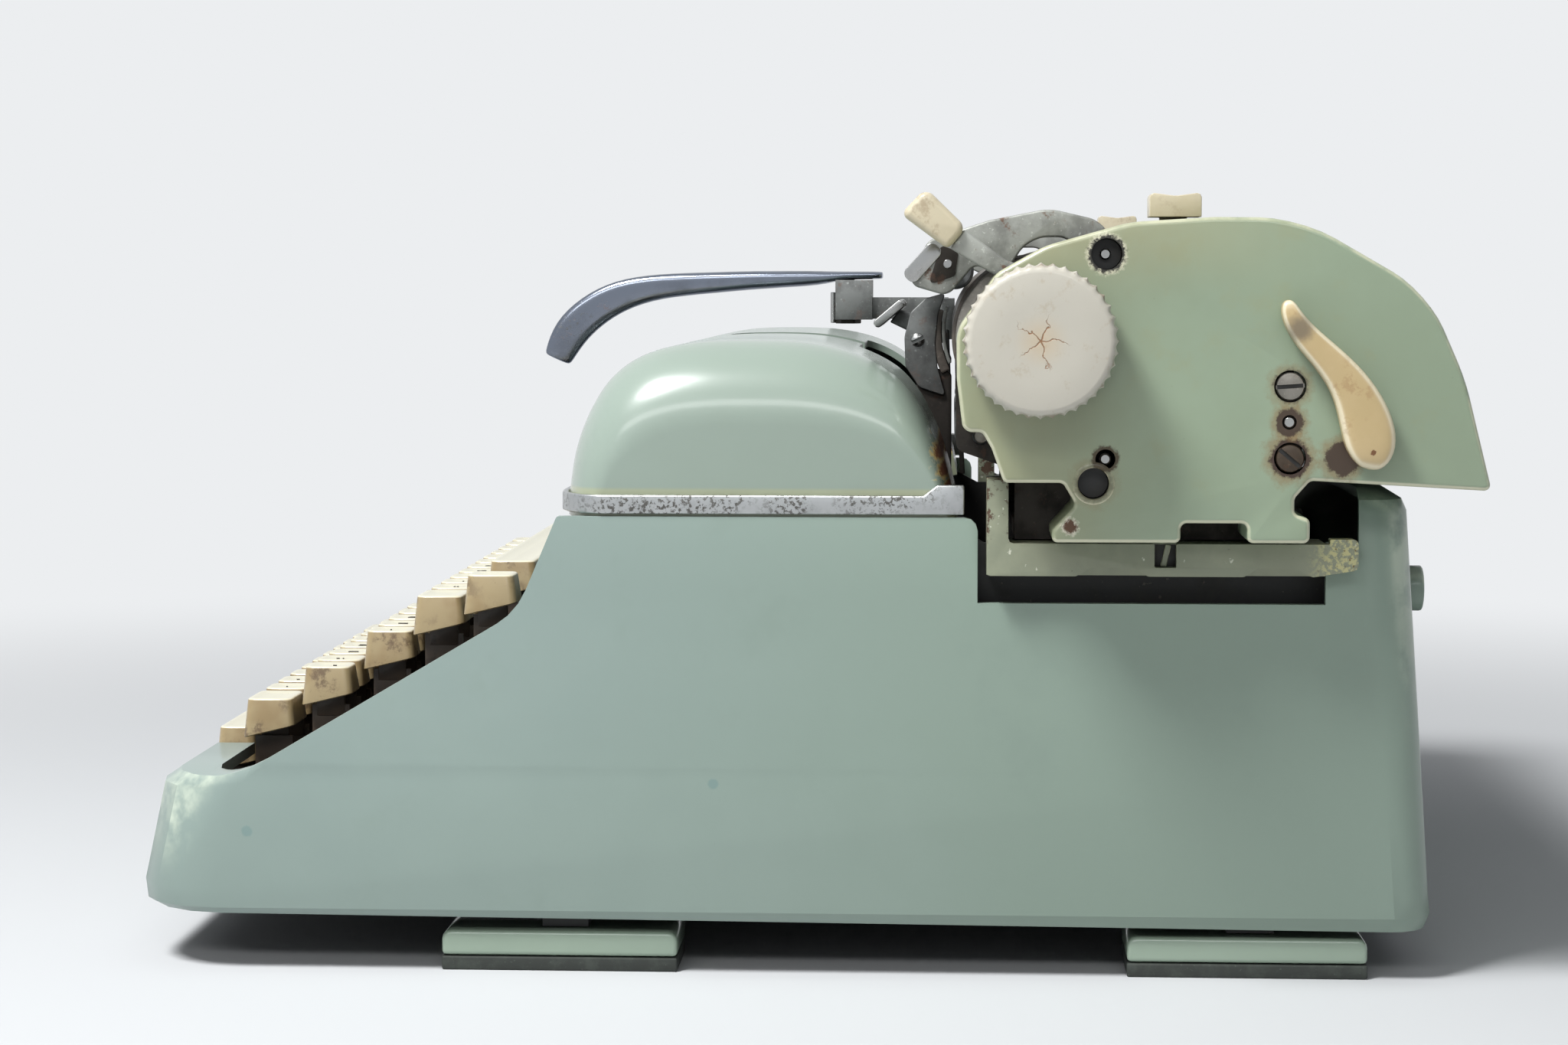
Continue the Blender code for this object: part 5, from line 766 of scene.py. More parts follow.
def on_cover(shares):
    """The same place without its X."""
    return Vector(cover_place(shares)[1:])


def cover_corners():
    low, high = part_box("end_cover_right")
    return [
        (*on_cover((along, up)), max(radius * (high.z - low.z), COVER_SOFTEST))
        for along, up, radius in COVER_SHARES
    ]


FINISHES = {
    "body": body_enamel(), "hood": hood_enamel(), "cover": cover_enamel(), "tray": tray_enamel(),
    "foot": foot_enamel(), "pad": rubber("pad_rubber", (44, 48, 44)),
    "platen": rubber("platen_rubber", (74, 68, 62), 0.5, (0.15, 1, 1)),
    "roller": rubber("roller_rubber", (70, 72, 72), 0.55),
    "trim": bright_metal("trim_chrome", (186, 188, 188), 0.32, 0.95, worn=0.06),
    "lever": bright_metal("lever_chrome", (128, 134, 146), 0.16, 0.6, 0.4),
    "bright": bright_metal("plated_steel", (178, 178, 176), 0.22, 0.6, 0.2),
    "zinc": dull_metal("zinc_plate", (128, 130, 128), 0.42, 0.35),
    "grey": dull_metal("grey_steel", (150, 152, 146), 0.5, 0.75, 0.4),
    "steel": dull_metal("bare_steel", (142, 138, 130), 0.36, 0.25),
    "dark": dull_metal("dark_steel", (58, 54, 50), 0.5, 0.25),
    "oily": dull_metal("oily_steel", (78, 66, 54), 0.32, 0.5, 0.5),
    "black": black_lacquer(), "key": key_plastic(), "comma": comma_plastic(), "knob": knob_plastic(),
    "ivory": aged_plastic("ivory_plastic", (196, 186, 160), (184, 172, 140), (120, 90, 58), 0.4),
    "brown": aged_plastic("brown_plastic", (62, 50, 42), (74, 62, 52), (30, 26, 22), 0.4, 0.4),
    "stem": aged_plastic("stem_brown", (66, 54, 44), (84, 70, 56), (38, 30, 24), 0.6, 0.5),
    "ink": aged_plastic("legend_ink", (52, 46, 40), (66, 58, 50), (36, 30, 26), 0.4, 0.5),
}


# Floor, light and camera

PAPER_NEAR = 0.26
PAPER_FAR = 1.1
WALL_HEIGHT = 3.0
WALL_BEND = 1.4


def seen_by(tree, *rays):
    """1 for the named rays of the light path and 0 for the others."""
    path = tree.nodes.new("ShaderNodeLightPath")
    seen = path.outputs[rays[0]]
    for ray in rays[1:]:
        either = tree.nodes.new("ShaderNodeMath")
        either.operation = "MAXIMUM"
        tree.links.new(seen, either.inputs[0])
        tree.links.new(path.outputs[ray], either.inputs[1])
        seen = either.outputs[0]
    return seen


def mixed(tree, factor, first, second, output):
    """Shows the first shader where the factor is 0 and the second where it is 1."""
    mix = tree.nodes.new("ShaderNodeMixShader")
    for source, target in zip((factor, first, second), mix.inputs):
        tree.links.new(source, target)
    tree.links.new(mix.outputs[0], tree.nodes[output].inputs["Surface"])


def backdrop_paper():
    """Pale paper that keeps the shadow near the machine and is near white further off."""
    paper = bpy.data.materials.new("backdrop_paper")
    paper.use_nodes = True
    tree = paper.node_tree
    shader = tree.nodes["Principled BSDF"]
    shader.inputs["Base Color"].default_value = srgb(196, 198, 200)
    shader.inputs["Roughness"].default_value = 0.9
    shader.inputs["Specular IOR Level"].default_value = 0.1
    glow = tree.nodes.new("ShaderNodeEmission")
    glow.inputs["Color"].default_value = srgb(236, 238, 240)
    glow.inputs["Strength"].default_value = 1.0
    places = tree.nodes.new("ShaderNodeTexCoord")
    reach = tree.nodes.new("ShaderNodeVectorMath")
    reach.operation = "LENGTH"
    tree.links.new(places.outputs["Object"], reach.inputs[0])
    far = tree.nodes.new("ShaderNodeMapRange")
    far.interpolation_type = "SMOOTHSTEP"
    far.inputs["From Min"].default_value = PAPER_NEAR
    far.inputs["From Max"].default_value = PAPER_FAR
    tree.links.new(reach.outputs["Value"], far.inputs["Value"])
    factor = tree.nodes.new("ShaderNodeMath")
    factor.operation = "MULTIPLY"
    tree.links.new(far.outputs["Result"], factor.inputs[0])
    tree.links.new(seen_by(tree, "Is Camera Ray", "Is Glossy Ray", "Is Transmission Ray"), factor.inputs[1])
    mixed(tree, factor.outputs[0], shader.outputs[0], glow.outputs[0], "Material Output")
    return paper


def make_studio():
    """The floor, which bends up into a wall behind the machine."""
    floor = bmesh.new()
    bmesh.ops.create_grid(floor, x_segments=1, y_segments=1, size=1)
    bmesh.ops.scale(floor, verts=floor.verts, vec=(3.0, 4.0, 1))
    bmesh.ops.translate(floor, verts=floor.verts, vec=(0.4, 0, 0))
    far = [edge for edge in floor.edges if all(point.co.x < -2 for point in edge.verts)]
    wall = bmesh.ops.extrude_edge_only(floor, edges=far)["geom"]
    top = [item for item in wall if isinstance(item, bmesh.types.BMVert)]
    bmesh.ops.translate(floor, verts=top, vec=(0, 0, WALL_HEIGHT))
    corner = [
        edge for edge in floor.edges if all(point.co.x < -2 and abs(point.co.z) < MM for point in edge.verts)
    ]
    bmesh.ops.bevel(
        floor, geom=corner, offset=WALL_BEND, affect="EDGES", segments=24, profile=0.5, material=-1,
    )
    mesh = as_mesh("backdrop", floor)
    mesh.shade_smooth()
    mesh.materials.append(backdrop_paper())
    backdrop = placed("backdrop", mesh)


def softbox(name, place, target, width, height, power):
    lamp = bpy.data.lights.new(name, "AREA")
    lamp.shape = "RECTANGLE"
    lamp.size = width
    lamp.size_y = height
    lamp.energy = power
    holder = placed(name, lamp)
    holder.location = place
    holder.rotation_euler = (Vector(target) - Vector(place)).to_track_quat("-Z", "Y").to_euler()


def make_light():
    world = bpy.data.worlds.new("studio")
    world.use_nodes = True
    tree = world.node_tree
    dim = tree.nodes["Background"]
    dim.inputs["Color"].default_value = srgb(236, 240, 244)
    dim.inputs["Strength"].default_value = 0.24
    pale = tree.nodes.new("ShaderNodeBackground")
    pale.inputs["Color"].default_value = srgb(226, 230, 234)
    pale.inputs["Strength"].default_value = 1.0
    seen = seen_by(tree, "Is Camera Ray", "Is Glossy Ray")
    mixed(tree, seen, dim.outputs[0], pale.outputs[0], "World Output")
    bpy.context.scene.world = world
    softbox("key_light", Vector((0.39, -0.35, 0.85)) * 1.9, (0.1, 0, 0.12), 0.45, 0.45, 45)
    softbox("shoulder_light", (1.9, -0.3, 1.2), (0.1, -0.05, 0.15), 2.3, 0.28, 11)
    bpy.context.scene.view_settings.view_transform = "Standard"


def make_camera():
    lens = bpy.data.cameras.new("photograph")
    lens.sensor_width = SENSOR_WIDTH
    lens.lens = FOCAL_PIXELS / IMAGE_WIDTH * SENSOR_WIDTH
    lens.clip_end = 20
    camera = placed("photograph", lens)
    camera.location = CAMERA_PLACE
    look = Vector((
        -cos(CAMERA_YAW) * cos(CAMERA_PITCH), -sin(CAMERA_YAW) * cos(CAMERA_PITCH), -sin(CAMERA_PITCH),
    ))
    camera.rotation_euler = look.to_track_quat("-Z", "Y").to_euler()
    bpy.context.scene.camera = camera


# Ribbon cover

HOOD_SHARES = (
    (0.000, 0.000), (0.006, 0.190), (0.024, 0.410), (0.064, 0.630), (0.120, 0.805), (0.204, 0.925),
    (0.325, 0.987), (0.480, 1.000), (0.620, 0.985), (0.740, 0.922), (0.835, 0.810), (0.898, 0.650),
    (0.945, 0.445), (0.978, 0.220), (1.000, 0.000),
)
HOOD_WALL = 2.2 * MM
HOOD_SHOULDER = 25 * MM
HOOD_CORNER = 12 * MM
HOOD_REAR_CORNER = 3 * MM
HOOD_TURNS = 14
MOUTH_HALF = 62 * MM
MOUTH_FRONT = 86 * MM
SLOT_HALF = 13 * MM
SLOT_FRONT = 40 * MM
MOUTH_CORNER = 9 * MM
HINGE_HALF = 108 * MM
LUG_PITCH = 7.8 * MM
LUG_WIDTH = 2.2 * MM


def hood_half():
    """The right half of the hood's skin, drawn out from the middle and turned in at the shoulder."""
    low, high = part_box("ribbon_cover")
    front, length, height = low.y, high.y - low.y, high.z - low.z
    line = flowing([(front + along * length, low.z + up * height) for along, up in HOOD_SHARES], 5)
    skin = bmesh.new()
    chain = [skin.verts.new((0, *place)) for place in line]
    edges = [skin.edges.new(pair) for pair in zip(chain, chain[1:])]
    for step in range(HOOD_TURNS + 1):
        turn = radians(90) * step / HOOD_TURNS
        share = 1 - cos(turn)
        edges, chain = grown_chain(skin, edges, chain)
        start = front + HOOD_CORNER * share
        narrower = 1 - (HOOD_CORNER + HOOD_REAR_CORNER) * share / length
        lower = 1 - HOOD_SHOULDER * share / height
        for point, place in zip(chain, line):
            point.co = (
                high.x - HOOD_SHOULDER * (1 - sin(turn)), start + (place.x - front) * narrower,
                low.z + (place.y - low.z) * lower,
            )
    skin.faces.new(chain)
    return skin


def make_hood():
    """The hood with its wall, its mouth and slot, and the lugs that turn on the hinge rod."""
    low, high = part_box("ribbon_cover")
    hood = hood_half()
    bmesh.ops.mirror(hood, geom=hood.verts[:] + hood.edges[:] + hood.faces[:], axis="X", merge_dist=TINY)
    bmesh.ops.remove_doubles(hood, verts=hood.verts, dist=TINY)
    bmesh.ops.recalc_face_normals(hood, faces=hood.faces)
    top = max(hood.faces, key=lambda face: face.calc_center_median().z)
    if top.normal.z < 0:
        bmesh.ops.reverse_faces(hood, faces=hood.faces)
    bmesh.ops.solidify(hood, geom=hood.faces[:], thickness=HOOD_WALL)
    bmesh.ops.recalc_face_normals(hood, faces=hood.faces)
    cutters = []
    for half, start in ((MOUTH_HALF, low.y + MOUTH_FRONT), (SLOT_HALF, low.y + SLOT_FRONT)):
        mouth = block((-half, start, low.z - 5 * MM), (half, high.y + 5 * MM, high.z + 5 * MM))
        fronts = [
            edge for edge in mouth.edges
            if all(point.co.y < start + TINY for point in edge.verts)
            and abs(edge.verts[0].co.z - edge.verts[1].co.z) > 10 * MM
        ]
        cutters.append(eased(mouth, fronts, MOUTH_CORNER, 8))
    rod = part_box("cover_hinge_rod")
    cutters.append(block(
        (rod[0].x - 2 * MM, low.y - MM, low.z - MM), (rod[1].x + 2 * MM, low.y + 6 * MM, rod[1].z + 0.3 * MM),
    ))
    hood = carved(hood, *cutters)
    finished("ribbon_hood", hood, "hood", "ribbon_cover", "ribbon_cover", smooth=30)
    corners = [
        (low.y + 1 * MM, low.z, 0), (low.y + 8 * MM, low.z, 3 * MM),
        (low.y + 8 * MM, low.z + 6.4 * MM, 3 * MM), (low.y + 1 * MM, low.z + 9.6 * MM, 0),
    ]
    lugs = [slab(corners, x, x + LUG_WIDTH, 0.3 * MM, 2) for x in (HINGE_HALF, HINGE_HALF + LUG_PITCH)]
    finished("hood_lugs", paired(*lugs), "hood", "ribbon_cover")


# Carriage

def screw_head(place, start, end, radius, turn):
    """A slotted cheese head with a domed top, and the black bar in its slot that stands for painted shade."""
    length = end - start
    head = turned(
        [(0, 0), (0, radius), (length - 1.1 * MM, radius), (length - 0.45 * MM, radius - 0.35 * MM),
         (length - 0.12 * MM, radius * 0.62), (length, radius * 0.25), (length, 0)],
        (start, *place), ACROSS, 40,
    )
    slot = block((end - 1.1 * MM, -radius * 1.2, -0.6 * MM), (end + MM, radius * 1.2, 0.6 * MM))
    shade = block((end - 1.25 * MM, -radius * 0.9, -0.55 * MM), (end - 0.95 * MM, radius * 0.9, 0.55 * MM))
    for bar in (slot, shade):
        bmesh.ops.rotate(bar, verts=bar.verts, cent=(0, 0, 0), matrix=Matrix.Rotation(turn, 3, "X"))
        bmesh.ops.translate(bar, verts=bar.verts, vec=(0, *place))
    return carved(head, slot), shade


def make_end_cover(name, side):
    """A carriage end: a pressed cover, open towards the machine, with its holes and slots."""
    low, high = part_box("end_cover_right")
    rim, face = low.x, high.x
    shell = drawn_out(outline_face(cover_corners(), rim), face - rim)
    outer = [edge for edge in shell.edges if all(abs(point.co.x - face) < TINY for point in edge.verts)]
    eased(shell, outer, COVER_EDGE, 5)
    hollow = drawn_out(outline_face(cover_corners(), rim - MM, COVER_WALL), face - COVER_WALL - rim + MM)
    span = (face - COVER_WALL * 2, face + MM)
    platen, pivot = middle_of("platen_roller"), joint_place("carriage_release_right_turn")
    holes = [
        cross_pin(platen.yz, *span, SHAFT_HOLE, sides=64), cross_pin(pivot.yz, *span, RELEASE_HOLE),
        *[cross_pin(on_cover(shares), *span, radius) for shares, radius in COVER_HOLES],
        *[cross_pin(on_cover(shares), *span, SCREW_HOLE, sides=40) for shares in SCREW_SHARES],
    ]
    button_low, button_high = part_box("margin_button_right")
    holes.append(block(
        (rim - MM, button_low.y - SLOT_PLAY, high.z - 2 * COVER_WALL),
        (button_high.x + SLOT_PLAY, button_high.y + SLOT_PLAY, high.z + MM),
    ))
    if side > 0:
        arm = middle_of("paper_release_lever")
        holes.append(block(
            (arm.x - 3 * MM, low.y - MM, platen.z + 4 * MM),
            (arm.x + 3 * MM, platen.y + 2 * COVER_WALL, high.z),
        ))
    cover = carved(shell, hollow, *holes)
    ring = wheel(
        [(0, 4.5), (0.35, 4.8), (0.35, 5.6), (-0.1, 6.2), (-0.5, 5.4), (0, 4.5)],
        on_cover(LOW_HOLE_SHARES), face,
    )
    end = on_side(joined(cover, ring), side)
    finished(f"carriage_end_{name}", end, "cover", "carriage", f"end_cover_{name}")


def make_cover_fittings(name, side):
    """The strip behind the cover's face with its two slotted screws, and the pins that show in its holes."""
    low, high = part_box("end_cover_right")
    back = high.x - COVER_WALL - 0.3 * MM
    top, bottom = (on_cover(shares) for shares in SCREW_SHARES)
    guide, upper, lower, small = (on_cover(shares) for shares, _ in COVER_HOLES)
    strip = block(
        (back - 3 * MM, top.x - STRIP_HALF, bottom.y - STRIP_END),
        (back, top.x + STRIP_HALF, top.y + STRIP_END), 0.4 * MM,
    )
    posts = [cross_pin(place, low.x, back, 2.5 * MM) for place in (top, bottom)]
    backing = on_side(joined(strip, *posts), side)
    finished(f"cover_strip_{name}", backing, "dark", "carriage", f"cover_bracket_{name}")
    for label, place, turn, finish in (
        ("upper", top, SCREW_TURNS[0], "steel"), ("lower", bottom, SCREW_TURNS[1], "oily"),
    ):
        head, shade = screw_head(place, back - MM, high.x + 0.5 * MM, SCREW_RADIUS, turn)
        finished(f"cover_screw_{label}_{name}", on_side(head, side), finish, "carriage")
        # the black bar in each slot is painted shade
        finished(f"cover_slot_shade_{label}_{name}", on_side(shade, side), "black", "carriage")
    pins = [
        cross_pin(guide, back - 2 * MM, high.x - 0.1 * MM, 1.6 * MM, 0.3 * MM),
        cross_pin(upper + Vector((-0.3, 0)) * MM, low.x, high.x - 3 * MM, 1.6 * MM, 0.4 * MM),
        cross_pin(small, low.x, high.x - 0.9 * MM, 1.7 * MM, 0.5 * MM),
    ]
    # painted shade: black cylinders behind the upper and lower holes stand for the dark inside the cover seen
    # through them
    hole_shades = [cross_pin(place, low.x, high.x - 5 * MM, 4.9 * MM, 0.6 * MM) for place in (lower, upper)]
    finished(f"cover_hole_shade_{name}", on_side(joined(*hole_shades), side), "black", "carriage")
    finished(f"cover_pins_{name}", on_side(joined(*pins), side), "bright", "carriage")


def joint_place(name):
    """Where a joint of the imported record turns."""
    joint = next(item for item in frame["record"]["behaviour"]["joints"] if item["name"] == name)
    return Vector(joint["pos_m"])


KNOB_DEPTH = 19.5 * MM
KNOB_FLUTES = 40


def make_knob(name, side):
    """A fluted knob: rings of a scalloped outline, shallower towards its flat face."""
    low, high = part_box("platen_knob_right")
    centre = middle_of("platen_roller")
    radius, face = (high.z - low.z) / 2, high.x
    back = high.x - KNOB_DEPTH
    rings = []
    for x, reach, depth in (
        (back, 3 * MM, 0.0), (back, radius - 1.6 * MM, 0.5 * MM),
        (back + 0.6 * MM, radius - 0.5 * MM, 0.8 * MM), (back + 1.4 * MM, radius, 0.85 * MM),
        (face - 3.4 * MM, radius, 0.85 * MM),
        (face - 2.6 * MM, radius - 0.15 * MM, 0.8 * MM), (face - 1.6 * MM, radius - 0.6 * MM, 0.55 * MM),
        (face - 0.8 * MM, radius - 1.15 * MM, 0.25 * MM), (face - 0.25 * MM, radius - 1.8 * MM, 0.1 * MM),
        (face, radius - 2.9 * MM, 0.0), (face, radius * 0.5, 0.0), (face - 0.1 * MM, radius * 0.2, 0.0),
    ):
        ring = []
        for step in range(KNOB_FLUTES * 6):
            angle = 2 * pi * step / (KNOB_FLUTES * 6)
            here = reach - depth * abs(sin(angle * KNOB_FLUTES / 2))
            ring.append((x, centre.y + here * cos(angle), centre.z + here * sin(angle)))
        rings.append(ring)
    hub = cross_pin(centre.yz, low.x, back + 0.9 * MM, 9 * MM, 0.4 * MM, 48)
    knob = on_side(joined(ringed(rings), hub), side)
    finished(f"knob_{name}", knob, "knob", "platen", f"platen_knob_{name}", smooth=50)


COMMA_PATH = (
    (142.2, 202.6, 0.8, 2.2), (142.45, 201.15, 2.2, 3.2), (143.4, 198.0, 3.0, 3.8), (146.7, 192.9, 3.7, 4.0),
    (153.2, 186.7, 4.3, 4.0), (159.7, 179.5, 5.5, 4.0), (163.9, 171.0, 7.2, 4.0), (166.2, 163.0, 7.8, 4.0),
    (166.5, 157.5, 6.0, 3.8), (165.6, 154.4, 2.6, 2.6),
)


def make_comma_lever(name, side):
    """The carriage release: a thick comma-shaped plate, flat on its face and eased all round."""
    low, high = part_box("carriage_release_lever_right")
    middle = high.x - 4 * MM
    places = [Vector((y, z)) * MM for y, z, _, _ in COMMA_PATH]
    stations = []
    for index, (_, _, wide, thick) in enumerate(COMMA_PATH):
        along = heading(places, index)
        over = Vector((0, -along.y, along.x)) * wide * MM
        stations.append(((middle, *places[index]), over, (thick * MM, 0, 0)))
    lever = swept(stations, 24, 0.5)
    pivot = joint_place("carriage_release_right_turn")
    shaft = cross_pin(pivot.yz, low.x, middle, 2.5 * MM)
    smoothed(finished(
        f"release_comma_{name}", on_side(lever, side), "comma", f"carriage_release_{name}",
        f"carriage_release_lever_{name}", smooth=180,
    ))
    finished(f"release_pin_{name}", on_side(shaft, side), "steel", f"carriage_release_{name}")


TIP_SHARES = (
    (-0.996, 0.783, 0.060), (-0.856, 1.003, 0.090), (-0.625, 0.669, 0.090), (-0.731, 0.491, 0.060),
)
ARM_SHARES = (
    (-0.720, 0.500, 0.000), (-0.640, 0.660, 0.000), (-0.404, 0.400, 0.200), (0.030, 0.200, 0.120),
    (0.117, -0.037, 0.140), (0.030, -0.177, 0.120), (-0.108, -0.103, 0.120), (-0.462, 0.271, 0.300),
)
RELEASE_REACH = 52 * MM
RELEASE_HEIGHT = 35 * MM


def make_paper_release():
    pivot = joint_place("paper_release_turn")

    def corners(shares):
        return [
            (pivot.y + a * RELEASE_REACH, pivot.z + b * RELEASE_HEIGHT, r * RELEASE_HEIGHT)
            for a, b, r in shares
        ]

    middle = middle_of("paper_release_lever").x
    arm = slab(corners(ARM_SHARES), middle - 2 * MM, middle + 2 * MM, 0.7 * MM)
    stud = cross_pin(pivot.yz, middle - 3 * MM, middle + 3.2 * MM, 3.4 * MM, 0.6 * MM)
    finished("paper_release_arm", joined(arm, stud), "grey", "paper_release_lever", "paper_release_lever")
    tip = slab(corners(TIP_SHARES), middle - 4.5 * MM, middle + 4.5 * MM, 2.2 * MM, 5)
    finished("paper_release_tip", tip, "ivory", "paper_release_lever")


BAIL_SHARES = (
    (-1.000, -0.192, 0.115), (-0.897, 0.308, 0.154), (-0.586, 0.538, 0.462), (-0.276, 0.673, 0.538),
    (-0.017, 0.538, 0.308), (0.121, 0.038, 0.231), (0.000, -0.269, 0.231), (-0.121, -0.115, 0.231),
    (-0.138, 0.346, 0.231), (-0.379, 0.346, 0.385), (-0.483, -0.019, 0.096), (-0.586, -0.038, 0.096),
    (-0.655, 0.038, 0.115), (-0.793, -0.327, 0.154),
)
BAIL_REACH = 58 * MM
BAIL_RISE = 26 * MM
BAIL_ARM_IN = 150.4 * MM
BAIL_ARM_OUT = 154.4 * MM
BAIL_BAR_OFFSET = Vector((-33.7, 22.3)) * MM
BAIL_BAR_TILT = radians(48)
BAIL_CLIP_CORNERS = ((1.6, -6.6), (9.6, -4.0), (10.6, 3.2), (5.4, 5.2))
BAIL_ROD_OFFSET = Vector((-24.0, 20.0)) * MM
BAIL_ROLLER_PLACES = (-95 * MM, 0, 95 * MM)


def make_bail():
    """The bail: two arms with their pins, a grooved bar between them, and a rod with three rubbers."""
    pivot, platen = joint_place("paper_bail_lift"), middle_of("platen_roller")
    corners = [(pivot.y + a * BAIL_REACH, pivot.z + b * BAIL_RISE, r * BAIL_RISE) for a, b, r in BAIL_SHARES]
    arm = slab(corners, BAIL_ARM_IN, BAIL_ARM_OUT, 0.7 * MM)
    finished("bail_arms", paired(arm), "grey", "paper_bail", "paper_bail")
    stud = cross_pin(pivot.yz, BAIL_ARM_IN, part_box("paper_bail")[1].x, 1.8 * MM, 0.3 * MM)
    screw = (pivot.y - 2.5 * MM, pivot.z + 4 * MM)
    head, _ = screw_head(screw, BAIL_ARM_OUT - 1.5 * MM, BAIL_ARM_OUT + 0.45 * MM, 2.2 * MM, radians(20))
    finished("bail_pins", paired(stud, head), "bright", "paper_bail")
    place = platen.yz + BAIL_BAR_OFFSET
    section = bar_corners(place, BAIL_BAR_TILT, 12.5 * MM, 3.6 * MM, 1.7 * MM)
    groove_place = place + Vector((-sin(BAIL_BAR_TILT), cos(BAIL_BAR_TILT))) * 1.9 * MM
    groove = bar_corners(groove_place, BAIL_BAR_TILT, 6.5 * MM, 1.6 * MM, 0.6 * MM)
    bar = slab(section, -BAIL_ARM_IN, BAIL_ARM_IN, 0.5 * MM)
    cutter = slab(groove, -BAIL_ARM_IN - 2 * MM, BAIL_ARM_IN + 2 * MM)
    finished("bail_bar", carved(bar, cutter), "bright", "paper_bail")
    rod_place = platen.yz + BAIL_ROD_OFFSET
    rod = cross_pin(rod_place, -BAIL_ARM_IN + 0.3 * MM, BAIL_ARM_IN - 0.3 * MM, 1.4 * MM, 0.2 * MM)
    finished("bail_rod", rod, "bright", "paper_bail")
    end = bar_corners(place, BAIL_BAR_TILT, 13.5 * MM, 5.0 * MM, 2.2 * MM)
    rivet = cross_pin(
        place + Vector((7.4, -0.4)) * MM, BAIL_ARM_OUT, BAIL_ARM_OUT + 0.55 * MM, 1.3 * MM, 0.2 * MM,
    )
    ends = paired(slab(end, BAIL_ARM_OUT, BAIL_ARM_OUT + 0.5 * MM, 0.2 * MM), rivet)
    finished("bail_bar_ends", ends, "bright", "paper_bail")
    clip = [(*(place + Vector(corner) * MM), 1.2 * MM) for corner in BAIL_CLIP_CORNERS]
    clips = paired(slab(clip, BAIL_ARM_OUT, BAIL_ARM_OUT + 0.35 * MM, 0.1 * MM))
    finished("bail_clips", clips, "dark", "paper_bail")
    profile = [
        (-11, 1.4), (-11, 4.9), (-10.4, 5.6), (-9, 5.8), (9, 5.8), (10.4, 5.6), (11, 4.9), (11, 1.4),
    ]
    rollers = [wheel(profile, rod_place, x) for x in BAIL_ROLLER_PLACES]
    finished("bail_rubbers", joined(*rollers), "roller", "paper_bail", "bail_rollers")


def make_platen():
    low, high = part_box("platen_roller")
    place, radius, half = middle_of("platen_roller").yz, (high.z - low.z) / 2, high.x
    roll = sleeve(place, -half + 1.6 * MM, half - 1.6 * MM, 4.2 * MM, radius, 0.7 * MM, 128)
    finished("platen_rubber_roll", roll, "platen", "platen", "platen_roller")
    rim = [(0, 4.2), (0, 23.4), (0.4, 23.8), (1.2, 23.8), (1.7, 23.2), (1.7, 4.2)]
    finished("platen_end_rings", paired(wheel(rim, place, half - 1.7 * MM, 96)), "steel", "platen")


def make_feed_rollers():
    for name in ("front", "rear"):
        body = f"feed_roller_{name}"
        low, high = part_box(body)
        place = middle_of(body).yz
        roll = sleeve(place, -120 * MM, 120 * MM, 2.2 * MM, 8 * MM, 0.8 * MM, 64)
        collars = [
            sleeve(place, start * MM, (start + 4) * MM, 2.2 * MM, 3.7 * MM, 0.6 * MM) for start in (124, 133)
        ]
        finished(f"feed_rubbers_{name}", joined(roll, paired(*collars)), "roller", body, body)
        shaft = cross_pin(place, low.x, high.x, 2.2 * MM, 0.3 * MM)
        finished(f"feed_shaft_{name}", shaft, "steel", body)


FRONT_ROLLER_PLACE = Vector((51.6, 165.4)) * MM
FRONT_ROLLER_PROFILE = (
    (0, 1.2), (0, 2.6), (0.7, 3.3), (1.9, 3.3), (2.4, 2.6), (2.9, 3.3), (4.1, 3.3), (4.8, 2.6), (4.8, 1.2),
)
APRON_CORNERS = ((49.9, 148.4), (51.4, 148.4), (49.9, 178), (48.3, 178))


def make_front_rollers():
    """Two small rubber rollers on a thin shaft at each end of the paper trough, and the apron."""
    for name, side in SIDES:
        rollers = [wheel(FRONT_ROLLER_PROFILE, FRONT_ROLLER_PLACE, start * MM) for start in (121, 130)]
        finished(f"front_rollers_{name}", on_side(joined(*rollers), side), "roller", "carriage")
        shaft = cross_pin(FRONT_ROLLER_PLACE, 116 * MM, 152 * MM, 1.2 * MM, 0.2 * MM)
        finished(f"front_roller_shaft_{name}", on_side(shaft, side), "steel", "carriage")
    apron = slab([(y * MM, z * MM, 0) for y, z in APRON_CORNERS], -120 * MM, 120 * MM, 0.3 * MM)
    finished("carriage_apron", apron, "dark", "carriage")


LINE_LEVER_SHARES = (
    (-0.110, 1.003, 0.047, 0.055), (0.030, 1.003, 0.047, 0.062), (0.078, 0.968, 0.088, 0.064),
    (0.295, 0.952, 0.108, 0.055), (0.464, 0.915, 0.128, 0.042), (0.650, 0.879, 0.147, 0.034),
    (0.785, 0.774, 0.191, 0.027), (0.886, 0.574, 0.212, 0.025), (0.962, 0.321, 0.218, 0.025),
    (1.000, 0.026, 0.176, 0.022),
)
LEVER_LENGTH = 118.5 * MM
LEVER_DROP = 34 * MM
LEVER_TOP = 19 * MM
LEVER_ROUNDING = 1.2 * MM


